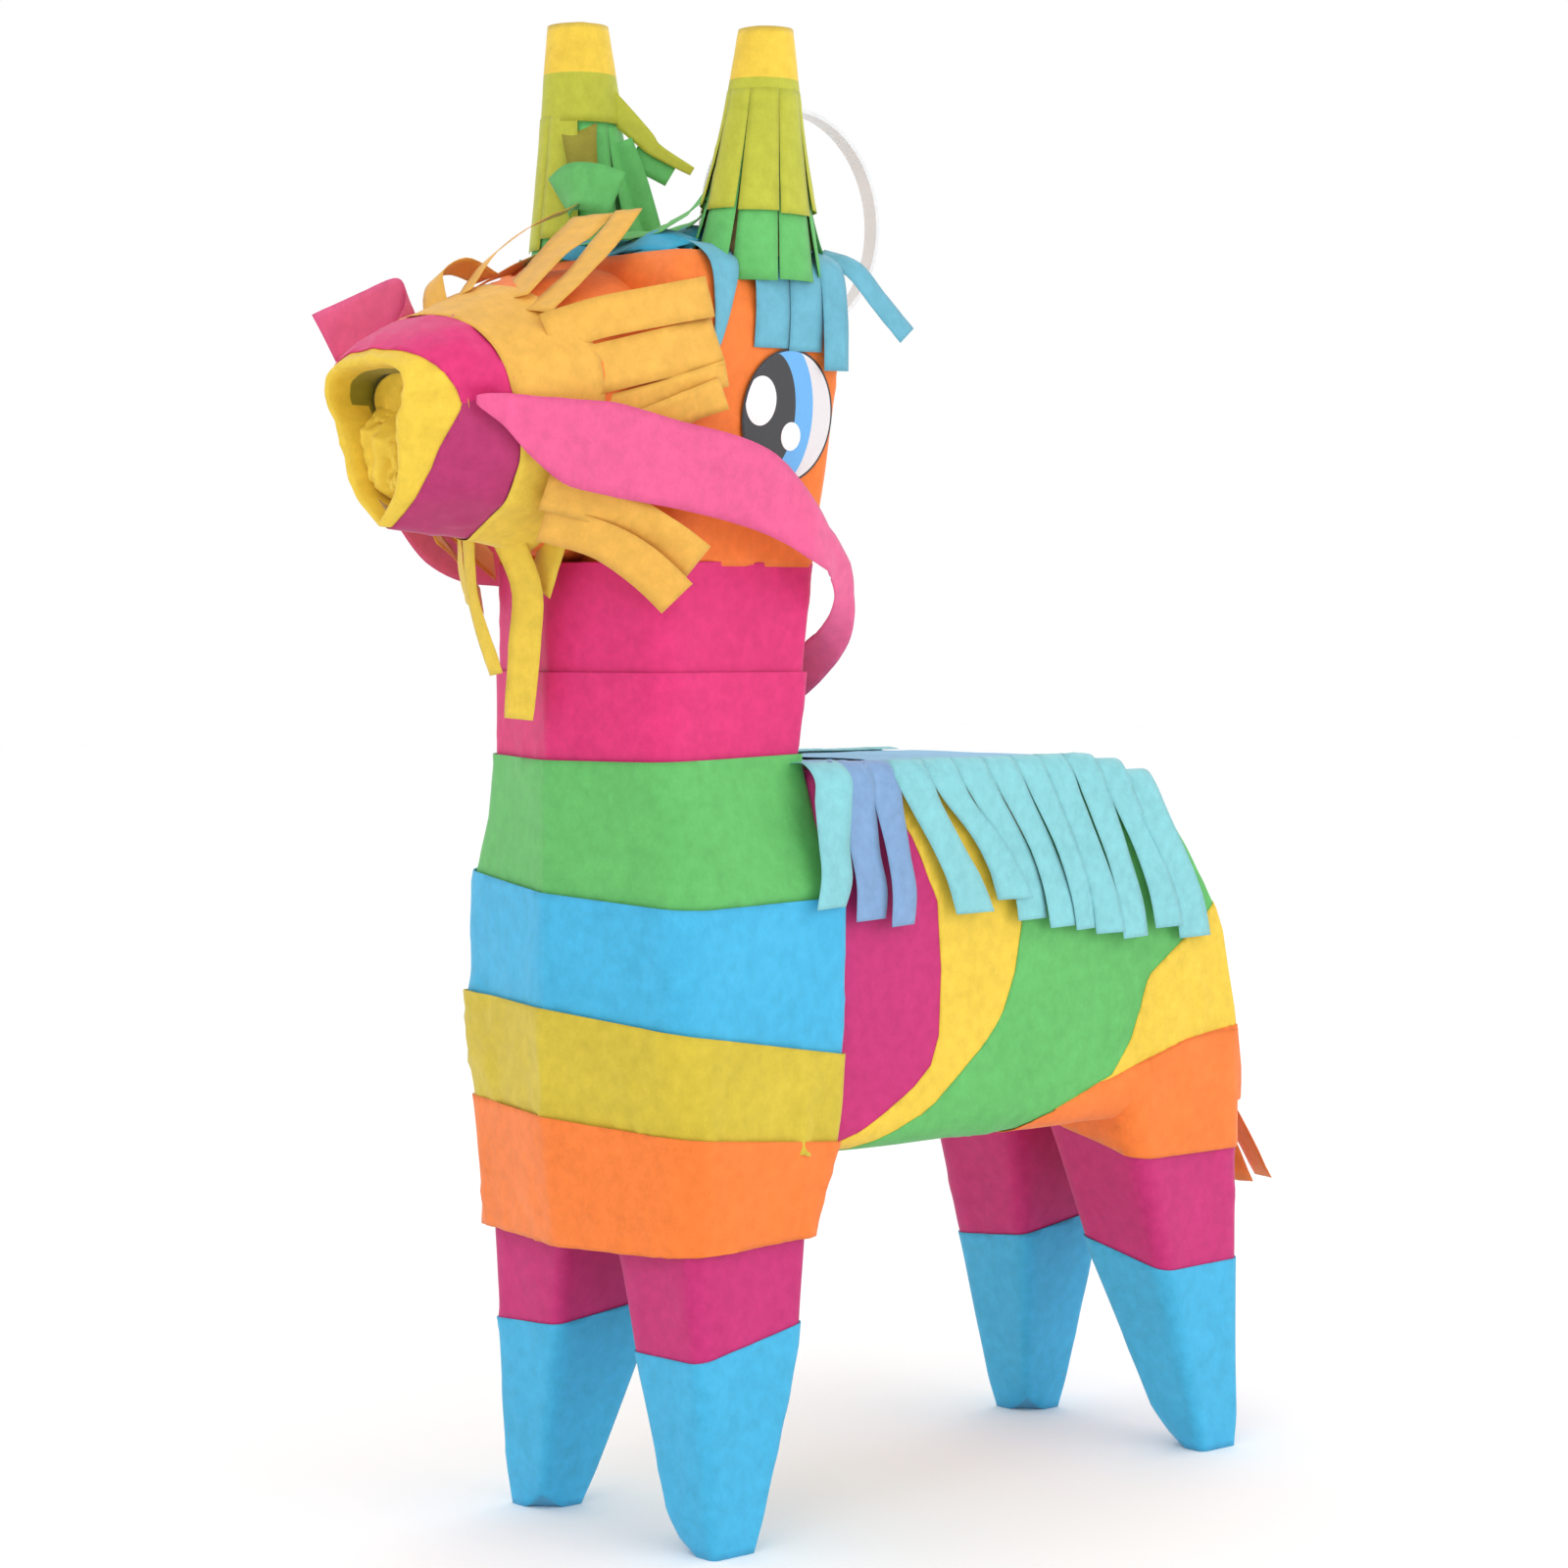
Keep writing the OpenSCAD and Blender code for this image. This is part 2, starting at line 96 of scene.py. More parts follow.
def outline_mesh(corners, step):
    """A closed line of edges about one step long. corners: (x, y, radius), counter-clockwise, in millimetres."""
    bm = bmesh.new()
    verts = [bm.verts.new((x, y, 0)) for x, y, radius in corners]
    bm.faces.new(verts)
    radius_of = {v: corner[2] for v, corner in zip(verts, corners)}
    for radius in sorted({r for r in radius_of.values() if r > 0}):
        bmesh.ops.bevel(
            bm, geom=[v for v in verts if v.is_valid and radius_of[v] == radius], offset=radius,
            offset_type="OFFSET", segments=4, profile=0.5, affect="VERTICES", material=-1,
        )
    bmesh.ops.delete(bm, geom=bm.faces[:], context="FACES_ONLY")
    counts = {}
    for edge in bm.edges:
        counts.setdefault(int(edge.calc_length() / step), []).append(edge)
    for cuts, edges in counts.items():
        if cuts:
            bmesh.ops.subdivide_edges(bm, edges=edges, cuts=cuts)
    return bm


def sleeve(corners, levels, place, step=2.6):
    """Extrudes an outline through levels. place(x, y, level) gives each point's position in the frame."""
    bm = outline_mesh(corners, step)
    flat = bm.verts.layers.float_vector.new("flat")
    for v in bm.verts:
        v[flat] = v.co
    for v in bm.verts:
        v.co = place(v[flat].x, v[flat].y, levels[0])
    edges = bm.edges[:]
    for level in levels[1:]:
        made = bmesh.ops.extrude_edge_only(bm, edges=edges)["geom"]
        for v in made:
            if isinstance(v, bmesh.types.BMVert):
                v.co = place(v[flat].x, v[flat].y, level)
        edges = [e for e in made if isinstance(e, bmesh.types.BMEdge)]
    return bm, edges


def steps(low, high, size):
    """Evenly spaced values from low to high, about one size apart."""
    count = max(1, round(abs(high - low) / size))
    return [low + (high - low) * i / count for i in range(count + 1)]


def trim(bm, height, axis):
    """Cuts the mesh along the line where height(point) is zero and keeps the side where it is positive."""
    rest = bm.verts.layers.float_vector.new("rest")
    for v in bm.verts:
        v[rest] = v.co
    for v in bm.verts:
        v.co[axis] = height(v[rest])
    normal = [0, 0, 0]
    normal[axis] = 1
    bmesh.ops.bisect_plane(
        bm, geom=bm.verts[:] + bm.edges[:] + bm.faces[:], dist=1e-6, plane_co=(0, 0, 0), plane_no=normal,
        clear_inner=True,
    )
    for v in bm.verts:
        v.co = v[rest]
    bm.verts.layers.float_vector.remove(rest)


def face_outwards(bm, centre):
    """Turns all faces of an open skin so that they point away from a line or point."""
    bmesh.ops.recalc_face_normals(bm, faces=bm.faces[:])
    total = sum(f.normal.dot(f.calc_center_median() - centre(f.calc_center_median())) for f in bm.faces)
    if total < 0:
        bmesh.ops.reverse_faces(bm, faces=bm.faces[:])
    bm.normal_update()


def swell(bm, amount):
    """Moves every point along its normal by amount(point)."""
    bm.normal_update()
    moves = [(v, v.normal * amount(v.co)) for v in bm.verts]
    for v, move in moves:
        v.co += move


def crease_field(seed, pitch, stretch=(1, 1, 1)):
    """Shallow hills and sharp fine creases, from -1 to 1, that repeat for the same seed."""
    shift = Vector((seed * 7.31, seed * 3.17, seed * 5.53))

    def field(p):
        q = Vector((p.x * stretch[0], p.y * stretch[1], p.z * stretch[2])) / pitch + shift
        hills = noise.noise(q)
        ridge = 1 - 2 * abs(noise.noise(q * 1.7 + shift))
        gate = max(0.0, noise.noise(q * 0.6 - shift) + 0.15)
        return 0.45 * hills + 1.3 * gate * (ridge * ridge * ridge if ridge > 0 else 0)

    return field


def ribbon(bm, route, cuts=3):
    """Adds a strip of paper. route is a list of (centre, half width vector, how far the middle stands out)."""
    centre, half, sag = route[0]
    shares = [2 * i / (cuts + 1) - 1 for i in range(cuts + 2)]
    line = [bm.verts.new(centre + half * share - sag * share * share) for share in shares]
    order = dict(zip(line, shares))
    edges = [bm.edges.new(pair) for pair in zip(line, line[1:])]
    for centre, half, sag in route[1:]:
        made = bmesh.ops.extrude_edge_only(bm, edges=edges)["geom"]
        edges = [g for g in made if isinstance(g, bmesh.types.BMEdge)]
        fresh = {}
        for v in made:
            if isinstance(v, bmesh.types.BMVert):
                fresh[v] = next(order[e.other_vert(v)] for e in v.link_edges if e.other_vert(v) in order)
        order = fresh
        for v, share in order.items():
            v.co = centre + half * share - sag * share * share


def curve_route(points, width, count=12, taper=1.0):
    """Runs a smooth line through listed points. points: (place, direction of the strip's width)."""
    route = []
    n = len(points) - 1
    for i in range(count + 1):
        t = i / count * n
        k = min(int(t), n - 1)
        u = t - k
        p0, p1, p2, p3 = (points[min(max(k + j, 0), n)][0] for j in (-1, 0, 1, 2))
        place = 0.5 * (
            2 * p1 + (p2 - p0) * u + (2 * p0 - 5 * p1 + 4 * p2 - p3) * u * u + (3 * p1 - p0 - 3 * p2 + p3) * u ** 3
        )
        side = points[k][1].lerp(points[k + 1][1], u)
        wide = width * (1 + (taper - 1) * i / count)
        route.append((place, side.normalized() * (wide / 2), Vector((0, 0, 0))))
    return route


def finish_piece(name, bm, finish, body, nodes, thick=0.3, smooth=True, inward=True):
    """Makes the mesh an object, gives it paper thickness and ties it to the frame."""
    mesh = bpy.data.meshes.new(name)
    bm.to_mesh(mesh)
    bm.free()
    for polygon in mesh.polygons:
        polygon.use_smooth = smooth
    for layer in [a for a in mesh.attributes if a.name in ("flat", "rest")]:
        mesh.attributes.remove(layer)
    piece = bpy.data.objects.new(name, mesh)
    bpy.context.scene.collection.objects.link(piece)
    for material in finish if isinstance(finish, list) else [finish]:
        mesh.materials.append(material)
    if thick:
        solid = piece.modifiers.new("paper thickness", "SOLIDIFY")
        solid.thickness = thick * MM
        solid.offset = -1 if inward else 0
    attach(piece, body)
    if nodes:
        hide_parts(*nodes)
    return piece


# ---------------------------------------------------------------- materials


def add_node(tree, kind, inputs=None, **settings):
    node = tree.nodes.new(kind)
    for key, value in settings.items():
        setattr(node, key, value)
    for key, value in (inputs or {}).items():
        node.inputs[key].default_value = value
    return node


def tissue(name, colour, see_through=1.0, depth=0.35, mottle=0.14):
    """Thin dyed tissue: cloudy colour, long fibres, fine crumple and a faint sheen."""
    material = bpy.data.materials.new(name)
    material.use_nodes = True
    tree = material.node_tree
    shader = tree.nodes["Principled BSDF"]
    place = add_node(tree, "ShaderNodeTexCoord")
    fibre_map = add_node(tree, "ShaderNodeMapping", {"Rotation": (0.4, 0.3, 0.9), "Scale": (1, 4.5, 1)})
    clouds = add_node(tree, "ShaderNodeTexNoise", {"Scale": 260, "Detail": 5, "Roughness": 0.62})
    fibres = add_node(tree, "ShaderNodeTexNoise", {"Scale": 620, "Detail": 4, "Roughness": 0.7, "Distortion": 1.2})
    patches = add_node(tree, "ShaderNodeTexNoise", {"Scale": 42, "Detail": 3, "Roughness": 0.5})
    light = [min(1, c * (1 + mottle) + 0.012) for c in colour]
    dark = [c * (1 - mottle * 1.35) for c in colour]
    ramp = add_node(tree, "ShaderNodeValToRGB")
    ramp.color_ramp.elements[0].position = 0.3
    ramp.color_ramp.elements[1].position = 0.7
    ramp.color_ramp.elements[0].color = (*dark, 1)
    ramp.color_ramp.elements[1].color = (*light, 1)
    mix = add_node(tree, "ShaderNodeMath", {1: 0.5}, operation="MULTIPLY_ADD")
    half = add_node(tree, "ShaderNodeMath", {1: 0.3}, operation="MULTIPLY")
    patch = add_node(tree, "ShaderNodeMath", {1: 0.2}, operation="MULTIPLY_ADD")
    link = tree.links.new
    link(place.outputs["Object"], fibre_map.inputs["Vector"])
    link(place.outputs["Object"], clouds.inputs["Vector"])
    link(place.outputs["Object"], patches.inputs["Vector"])
    link(fibre_map.outputs["Vector"], fibres.inputs["Vector"])
    link(patches.outputs["Fac"], patch.inputs[0])
    link(fibres.outputs["Fac"], half.inputs[0])
    link(half.outputs[0], patch.inputs[2])
    link(clouds.outputs["Fac"], mix.inputs[0])
    link(patch.outputs[0], mix.inputs[2])
    link(mix.outputs[0], ramp.inputs["Fac"])
    link(ramp.outputs["Color"], shader.inputs["Base Color"])
    rough = add_node(
        tree, "ShaderNodeMapRange", {"From Min": 0.3, "From Max": 0.7, "To Min": 0.5, "To Max": 0.68}
    )
    link(fibres.outputs["Fac"], rough.inputs["Value"])
    link(rough.outputs["Result"], shader.inputs["Roughness"])
    crumple = add_node(tree, "ShaderNodeTexNoise", {"Scale": 150, "Detail": 3, "Roughness": 0.5, "Distortion": 0.6})
    link(place.outputs["Object"], crumple.inputs["Vector"])
    height = add_node(tree, "ShaderNodeMath", {1: 0.25}, operation="MULTIPLY_ADD")
    link(fibres.outputs["Fac"], height.inputs[0])
    link(crumple.outputs["Fac"], height.inputs[2])
    bump = add_node(tree, "ShaderNodeBump", {"Strength": depth, "Distance": 0.0006})
    link(height.outputs[0], bump.inputs["Height"])
    link(bump.outputs["Normal"], shader.inputs["Normal"])
    shader.inputs["Alpha"].default_value = see_through
    shader.inputs["Sheen Weight"].default_value = 0.12
    shader.inputs["Sheen Roughness"].default_value = 0.45
    shader.inputs["Specular IOR Level"].default_value = 0.32
    return material


def cardboard(name):
    """Brown kraft board with flecks, fibres and the faint lines of its flutes."""
    material = bpy.data.materials.new(name)
    material.use_nodes = True
    tree = material.node_tree
    shader = tree.nodes["Principled BSDF"]
    place = add_node(tree, "ShaderNodeTexCoord")
    flecks = add_node(tree, "ShaderNodeTexNoise", {"Scale": 420, "Detail": 6, "Roughness": 0.75})
    ramp = add_node(tree, "ShaderNodeValToRGB")
    ramp.color_ramp.elements[0].position = 0.32
    ramp.color_ramp.elements[1].position = 0.68
    ramp.color_ramp.elements[0].color = (*linear(150, 112, 72), 1)
    ramp.color_ramp.elements[1].color = (*linear(205, 168, 122), 1)
    flutes = add_node(tree, "ShaderNodeTexWave", {"Scale": 45, "Distortion": 0.6}, bands_direction="Y")
    bump = add_node(tree, "ShaderNodeBump", {"Strength": 0.25, "Distance": 0.0005})
    link = tree.links.new
    link(place.outputs["Object"], flecks.inputs["Vector"])
    link(place.outputs["Object"], flutes.inputs["Vector"])
    link(flecks.outputs["Fac"], ramp.inputs["Fac"])
    link(ramp.outputs["Color"], shader.inputs["Base Color"])
    link(flutes.outputs["Fac"], bump.inputs["Height"])
    link(bump.outputs["Normal"], shader.inputs["Normal"])
    shader.inputs["Roughness"].default_value = 0.85
    return material


def clear_nylon(name):
    """Natural nylon: milky, slightly see-through, with a soft gloss."""
    material = bpy.data.materials.new(name)
    material.use_nodes = True
    tree = material.node_tree
    shader = tree.nodes["Principled BSDF"]
    place = add_node(tree, "ShaderNodeTexCoord")
    cloud = add_node(tree, "ShaderNodeTexNoise", {"Scale": 90, "Detail": 3})
    ramp = add_node(tree, "ShaderNodeValToRGB")
    ramp.color_ramp.elements[0].color = (*linear(226, 229, 232), 1)
    ramp.color_ramp.elements[1].color = (*linear(246, 247, 248), 1)
    tree.links.new(place.outputs["Object"], cloud.inputs["Vector"])
    tree.links.new(cloud.outputs["Fac"], ramp.inputs["Fac"])
    tree.links.new(ramp.outputs["Color"], shader.inputs["Base Color"])
    shader.inputs["Roughness"].default_value = 0.32
    shader.inputs["Alpha"].default_value = 0.72
    shader.inputs["Subsurface Weight"].default_value = 0.15
    shader.inputs["Subsurface Radius"].default_value = (0.002, 0.002, 0.002)
    return material


def printed(name, colour):
    """Gloss print on sticker paper, with a faint screen of ink."""
    material = bpy.data.materials.new(name)
    material.use_nodes = True
    tree = material.node_tree
    shader = tree.nodes["Principled BSDF"]
    place = add_node(tree, "ShaderNodeTexCoord")
    ink = add_node(tree, "ShaderNodeTexNoise", {"Scale": 1400, "Detail": 2})
    ramp = add_node(tree, "ShaderNodeValToRGB")
    ramp.color_ramp.elements[0].color = (*[c * 0.93 for c in colour], 1)
    ramp.color_ramp.elements[1].color = (*[min(1, c * 1.05 + 0.004) for c in colour], 1)
    tree.links.new(place.outputs["Object"], ink.inputs["Vector"])
    tree.links.new(ink.outputs["Fac"], ramp.inputs["Fac"])
    tree.links.new(ramp.outputs["Color"], shader.inputs["Base Color"])
    shader.inputs["Roughness"].default_value = 0.3
    shader.inputs["Coat Weight"].default_value = 0.25
    shader.inputs["Coat Roughness"].default_value = 0.15
    return material


FINISHES = {}


def paper(key):
    """The tissue material of a colour, made once."""
    if key not in FINISHES:
        colour = tuple(0.9 * c for c in getattr(bpy.context.scene.pinata_colours, key))
        see_through = {"aqua": 0.84, "lilac": 0.88, "ribbon": 0.86, "pale_blue": 0.9, "fringe": 0.92}.get(key, 1.0)
        FINISHES[key] = tissue("tissue " + key.replace("_", " "), colour, see_through)
    return FINISHES[key]


# ---------------------------------------------------------------- body shapes

# Column of chest and neck: height, half width, front corner, rear
COLUMN = [
    (70, 43.5, -11, 27), (77, 44.5, -12, 30), (106, 46.0, -14.0, 37.5), (135, 46.5, -16, 39.5), (172, 46, -15, 39),
    (189, 39.5, -14, 35), (204, 36, -14, 32.5), (259, 34.2, -13, 38),
]
KEEL = 10

# Legs: height, inner side, outer side, front, rear
FRONT_LEG = [
    (0, 28.8, 43.2, -4, 10.5), (10, 26, 43.5, -5.5, 13.5), (52, 15.5, 43.4, -9, 26), (77, 10.5, 43.6, -11, 28.6),
    (92, 8, 44, -11.5, 29.5),
]
REAR_LEG = [
    (0, 28.8, 43, 183.8, 198.2), (10, 26, 43.3, 180.5, 198.6), (57, 12.5, 43.2, 166, 198.6),
    (88, 8.0, 43.3, 156.5, 198.8), (104, 6.5, 43.4, 150, 198.8), (122, 6.5, 43.4, 148, 198.8),
]

# Head: height, half width, front, rear
HEAD = [
    (256, 35.4, -14.2, 38.8), (300, 40.8, -14.4, 42.2), (320, 43, -14.4, 43), (330, 41.5, -13, 41), (336, 38, -10, 37),
]

# Ridge of the back and rump: distance back, height, height of the underside
BACK = [
    (34, 203, 101), (135, 203, 101), (150, 199.5, 101), (164, 192, 101), (176, 178, 101), (190, 157, 101),
    (197, 126, 101), (198.6, 112, 102),
]

# Snout: distance ahead of the front feet, half width, underside, top
SNOUT = [
    (12, 38, 257, 333), (20, 37.8, 257.5, 332), (33, 36.5, 260, 330), (46, 34, 262.2, 325.5),
    (57, 31.5, 263.5, 320.5), (66, 28.5, 264.3, 316.6), (74, 23, 264.9, 312.4), (78, 18.6, 265, 309.4),
    (80, 16.6, 265.4, 307.6),
]
# The rim is narrower below and squarer above than the root: height share, width share
SNOUT_NIP = [(0, 0.67), (0.4, 0.67), (0.63, 0.85), (0.85, 1.4), (0.95, 1.8), (1, 2)]
SNOUT_END = 76
# The bands of the snout lean forward towards the top, more so at the root
SNOUT_LEAN = 0.26


def column_skin(low, high, step=2.4):
    """The bare skin of the column between two heights."""
    outline = [(0, -KEEL, 1.2), (46, 0, 8), (46, 54, 2.5), (-46, 54, 2.5), (-46, 0, 5)]

    def place(x, y, level):
        half, front, rear = blend_rows(COLUMN, level)
        return spot(x / 46 * half, front + (rear - front) * y / 54 if y > 0 else front + y, level)

    bm, edges = sleeve(outline, steps(low, high, step), place)
    face_outwards(bm, lambda c: Vector((0, FEET_LINE + 12 * MM, c.z)))
    return bm


def leg_skin(table, side, low, high, step=2.4):
    """The bare skin of one leg between two heights, with its sole if it starts at the floor."""
    outline = [(-15, -15, 3.2), (15, -15, 4.2), (15, 15, 2.6), (-15, 15, 2.6)]
    if side < 0:
        outline = [(-x, y, r) for x, y, r in reversed(outline)]

    def place(x, y, level):
        inner, outer, front, rear = blend_rows(table, level)
        across = (inner + outer) / 2 + side * x / 15 * (outer - inner) / 2
        lift = 5 * max(0, 1 - level / 12) * max(0, -side * x / 15) * max(0, -y / 15)
        return spot(side * across, (front + rear) / 2 + y / 15 * (rear - front) / 2, level + lift)

    bm, edges = sleeve(outline, steps(low, high, step), place)
    if low < 1:
        sole = [e for e in bm.edges if e.is_boundary and max(v.co.z for v in e.verts) < 6 * MM]
        cap = bmesh.ops.contextual_create(bm, geom=sole)["faces"]
        bmesh.ops.inset_region(bm, faces=cap, thickness=1.2 * MM, depth=0)
    middle = blend_rows(table, (low + high) / 2)
    centre = spot(side * (middle[0] + middle[1]) / 2, (middle[2] + middle[3]) / 2, 0)
    face_outwards(bm, lambda c: Vector((centre.x, centre.y, c.z)))
    return bm


def barrel_skin(low, high, step=2.6):
    """The bare skin of the barrel between two places along the back."""
    outline = [(-43, 0, 8), (43, 0, 8), (43, 100, 3), (-43, 100, 3)]

    def place(x, y, level):
        top, bottom = blend_rows(BACK, level)
        squeeze = 1 - 0.012 * math.cos((level - 38) / 160 * math.pi) ** 2
        return spot(x * squeeze, level, bottom + (top - bottom) * y / 100)

    bm, edges = sleeve(outline, steps(low, high, step), place, step)
    ends = [[e for e in bm.edges if e.is_boundary and e not in edges], edges]
    for end in ends:
        bmesh.ops.contextual_create(bm, geom=end)
    face_outwards(bm, lambda c: Vector((0, min(max(c.y, spot(0, 50, 0).y), spot(0, 180, 0).y), 0.15)))
    return bm


def head_skin():
    """The bare skin of the head with its top."""
    outline = [(-40, 0, 5), (40, 0, 5), (40, 55, 4), (-40, 55, 4)]

    def place(x, y, level):
        half, front, rear = blend_rows(HEAD, level)
        return spot(x / 40 * half, front + (rear - front) * y / 55, level)

    bm, edges = sleeve(outline, steps(256, 336, 2.5), place)
    cap = bmesh.ops.contextual_create(bm, geom=edges)["faces"]
    bmesh.ops.inset_region(bm, faces=cap, thickness=4 * MM, depth=0.8 * MM)
    face_outwards(bm, lambda c: spot(0, 14, 296))
    return bm


def snout_place(x, y, level):
    """x and y in the unit teardrop, level is the distance ahead of the front feet at its underside."""
    lean = SNOUT_LEAN * min(1, max(0, (level - 14) / 30)) * (1 - 0.6 * min(1, max(0, (level - 50) / 26)))
    ahead = level + y * 50 * lean
    half, low, high = blend_rows(SNOUT, ahead)
    nip = blend_rows(SNOUT_NIP, y)[0]
    squeeze = 1 + (nip - 1) * min(1, max(0, (ahead - 57) / 23))
    return spot(x * half * squeeze, -ahead, low + (high - low) * y)


def snout_skin(near, far, step=2.0):
    """The bare skin of the snout from the distance near to the distance far ahead of the front feet."""
    corners = [(0, 0), (0.62, 0.16), (0.9, 0.33), (1, 0.58), (0.97, 0.7), (0.82, 0.82), (0.6, 0.91), (0.33, 0.975), (0, 1)]
    outline = corners + [(-x, y) for x, y in reversed(corners[1:-1])]
    bm, edges = sleeve(
        [(x * 30, y * 60, 2.5) for x, y in outline], steps(near, far, step),
        lambda x, y, level: snout_place(x / 30, y / 60, level), 1.8,
    )
    face_outwards(bm, lambda c: Vector((0, c.y, 0.29)))
    return bm, edges


def board_liner(name, bm, nodes, thick=2.3, inset=1.5):
    """The cardboard behind a wrap."""
    swell(bm, lambda p: -inset * MM)
    if "board" not in FINISHES:
        FINISHES["board"] = cardboard("kraft board")
    finish_piece(name, bm, FINISHES["board"], "shell", nodes, thick=thick)


# ---------------------------------------------------------------- settings


class PinataColours(bpy.types.PropertyGroup):
    """Dyes of the tissue and two colours of painted shade, as linear colours."""

    pink: FloatVectorProperty(name="Pink", description="Neck and muzzle", subtype="COLOR", default=linear(226, 38, 118))
    magenta: FloatVectorProperty(
        name="Magenta", description="Legs and the first barrel wrap", subtype="COLOR", default=linear(202, 32, 116)
    )
    green: FloatVectorProperty(name="Green", description="Green wraps", subtype="COLOR", default=linear(98, 190, 100))
    blue: FloatVectorProperty(name="Sky blue", description="Chest and feet", subtype="COLOR", default=linear(62, 182, 228))
    mustard: FloatVectorProperty(name="Mustard", description="Chest wrap", subtype="COLOR", default=linear(214, 190, 48))
    yellow: FloatVectorProperty(name="Yellow", description="Barrel, snout, ears", subtype="COLOR", default=linear(244, 206, 62))
    orange: FloatVectorProperty(name="Orange", description="Head, chest and rump", subtype="COLOR", default=linear(255, 128, 44))
    fringe: FloatVectorProperty(name="Fringe yellow", description="Cut strips of the face", subtype="COLOR", default=linear(248, 188, 78))
    aqua: FloatVectorProperty(name="Aqua", description="Fringe on the back", subtype="COLOR", default=linear(146, 222, 230))
    olive: FloatVectorProperty(name="Olive", description="Yellow over green", subtype="COLOR", default=linear(190, 192, 54))
    dull_blue: FloatVectorProperty(name="Dull blue", description="Blue over orange", subtype="COLOR", default=linear(104, 180, 204))
    deep_blue: FloatVectorProperty(name="Deep blue", description="Blue in folds", subtype="COLOR", default=linear(40, 168, 208))
    # Painted shade: the pink of the muzzle below the reins, made darker for shade rather than a second layer of tissue
    shaded_pink: FloatVectorProperty(name="Deep pink", description="Pink in painted shade", subtype="COLOR", default=linear(186, 42, 108))
    warm_yellow: FloatVectorProperty(name="Warm yellow", description="Chin", subtype="COLOR", default=linear(240, 205, 66))
    # Painted shade: olive that darkens the inside of the muzzle and one torn strip of the right ear
    shaded_olive: FloatVectorProperty(name="Dark olive", description="Inside folds", subtype="COLOR", default=linear(150, 140, 32))
    lilac: FloatVectorProperty(name="Lilac", description="Aqua over magenta", subtype="COLOR", default=linear(136, 176, 222))
    pale_blue: FloatVectorProperty(name="Pale blue", description="Sheet on the back", subtype="COLOR", default=linear(130, 200, 240))
    ribbon: FloatVectorProperty(name="Ribbon pink", description="Reins", subtype="COLOR", default=linear(248, 98, 156))


class PinataWraps(bpy.types.PropertyGroup):
    """Sizes of the tissue work."""

    crease: FloatProperty(name="Crease depth", description="Height of the creases in a wrap", subtype="DISTANCE", default=0.9 * MM)
    lap: FloatProperty(name="Lap", description="How far one wrap covers the next", subtype="DISTANCE", default=3.5 * MM)
    strip: FloatProperty(name="Strip width", description="Width of a strip of the back fringe", subtype="DISTANCE", default=9.6 * MM)
    seed: IntProperty(name="Seed", description="Changes how the paper falls", default=4)


class PinataStage(bpy.types.PropertyGroup):
    """Camera and light."""

    lens: FloatProperty(name="Lens", description="Focal length on a 36 mm sensor", unit="CAMERA", default=83.25)
    bearing: FloatProperty(name="Bearing", description="Direction of the camera from the front", subtype="ANGLE", default=math.radians(48.35))
    pitch: FloatProperty(name="Pitch", description="How far the camera looks down", subtype="ANGLE", default=math.radians(2.4))


# ---------------------------------------------------------------- column


# Upper edge of each wrap: height at the front, rise towards the animal's left, rise towards the back
def edge_height(edge):
    height, across, along = edge

    def at(p):
        return (height + across * p.x / MM + along * ((p.y - FEET_LINE) / MM + 15)) * MM

    return at


COLUMN_EDGES = {
    "top": (257, 0, 0.0),
    "seam": (228.5, 0, 0),
    "neck": (206, -0.01, 0.03),
    "green": (171.5, -0.071, 0.028),
    "blue": (139.5, -0.059, -0.16),
    "mustard": (112, -0.041, -0.09),
    "bottom": (78.5, 0.012, 0.045),
}

COLUMN_WRAPS = [
    ("neck_wrap_upper", "pink", "top", "seam", 1.0),
    ("neck_wrap_lower", "pink", "seam", "neck", 0.8),
    ("chest_wrap_green", "green", "neck", "green", 1.0),
    ("chest_wrap_blue", "blue", "green", "blue", 1.1),
    ("chest_wrap_yellow", "mustard", "blue", "mustard", 1.7),
    ("chest_wrap_orange", "orange", "mustard", "bottom", 1.7),
]


def lap_profile(upper, lower, lap, proud):
    """A wrap stands proud at its upper edge and tucks under the next one at its lower edge."""

    def amount(p):
        below = upper(p) - p.z
        above = p.z - lower(p)
        t = min(1.0, max(0.0, above / (below + above + 1e-9)))
        return (0.15 + proud * t) * MM - (0.25 * MM if above < lap else 0)

    return amount


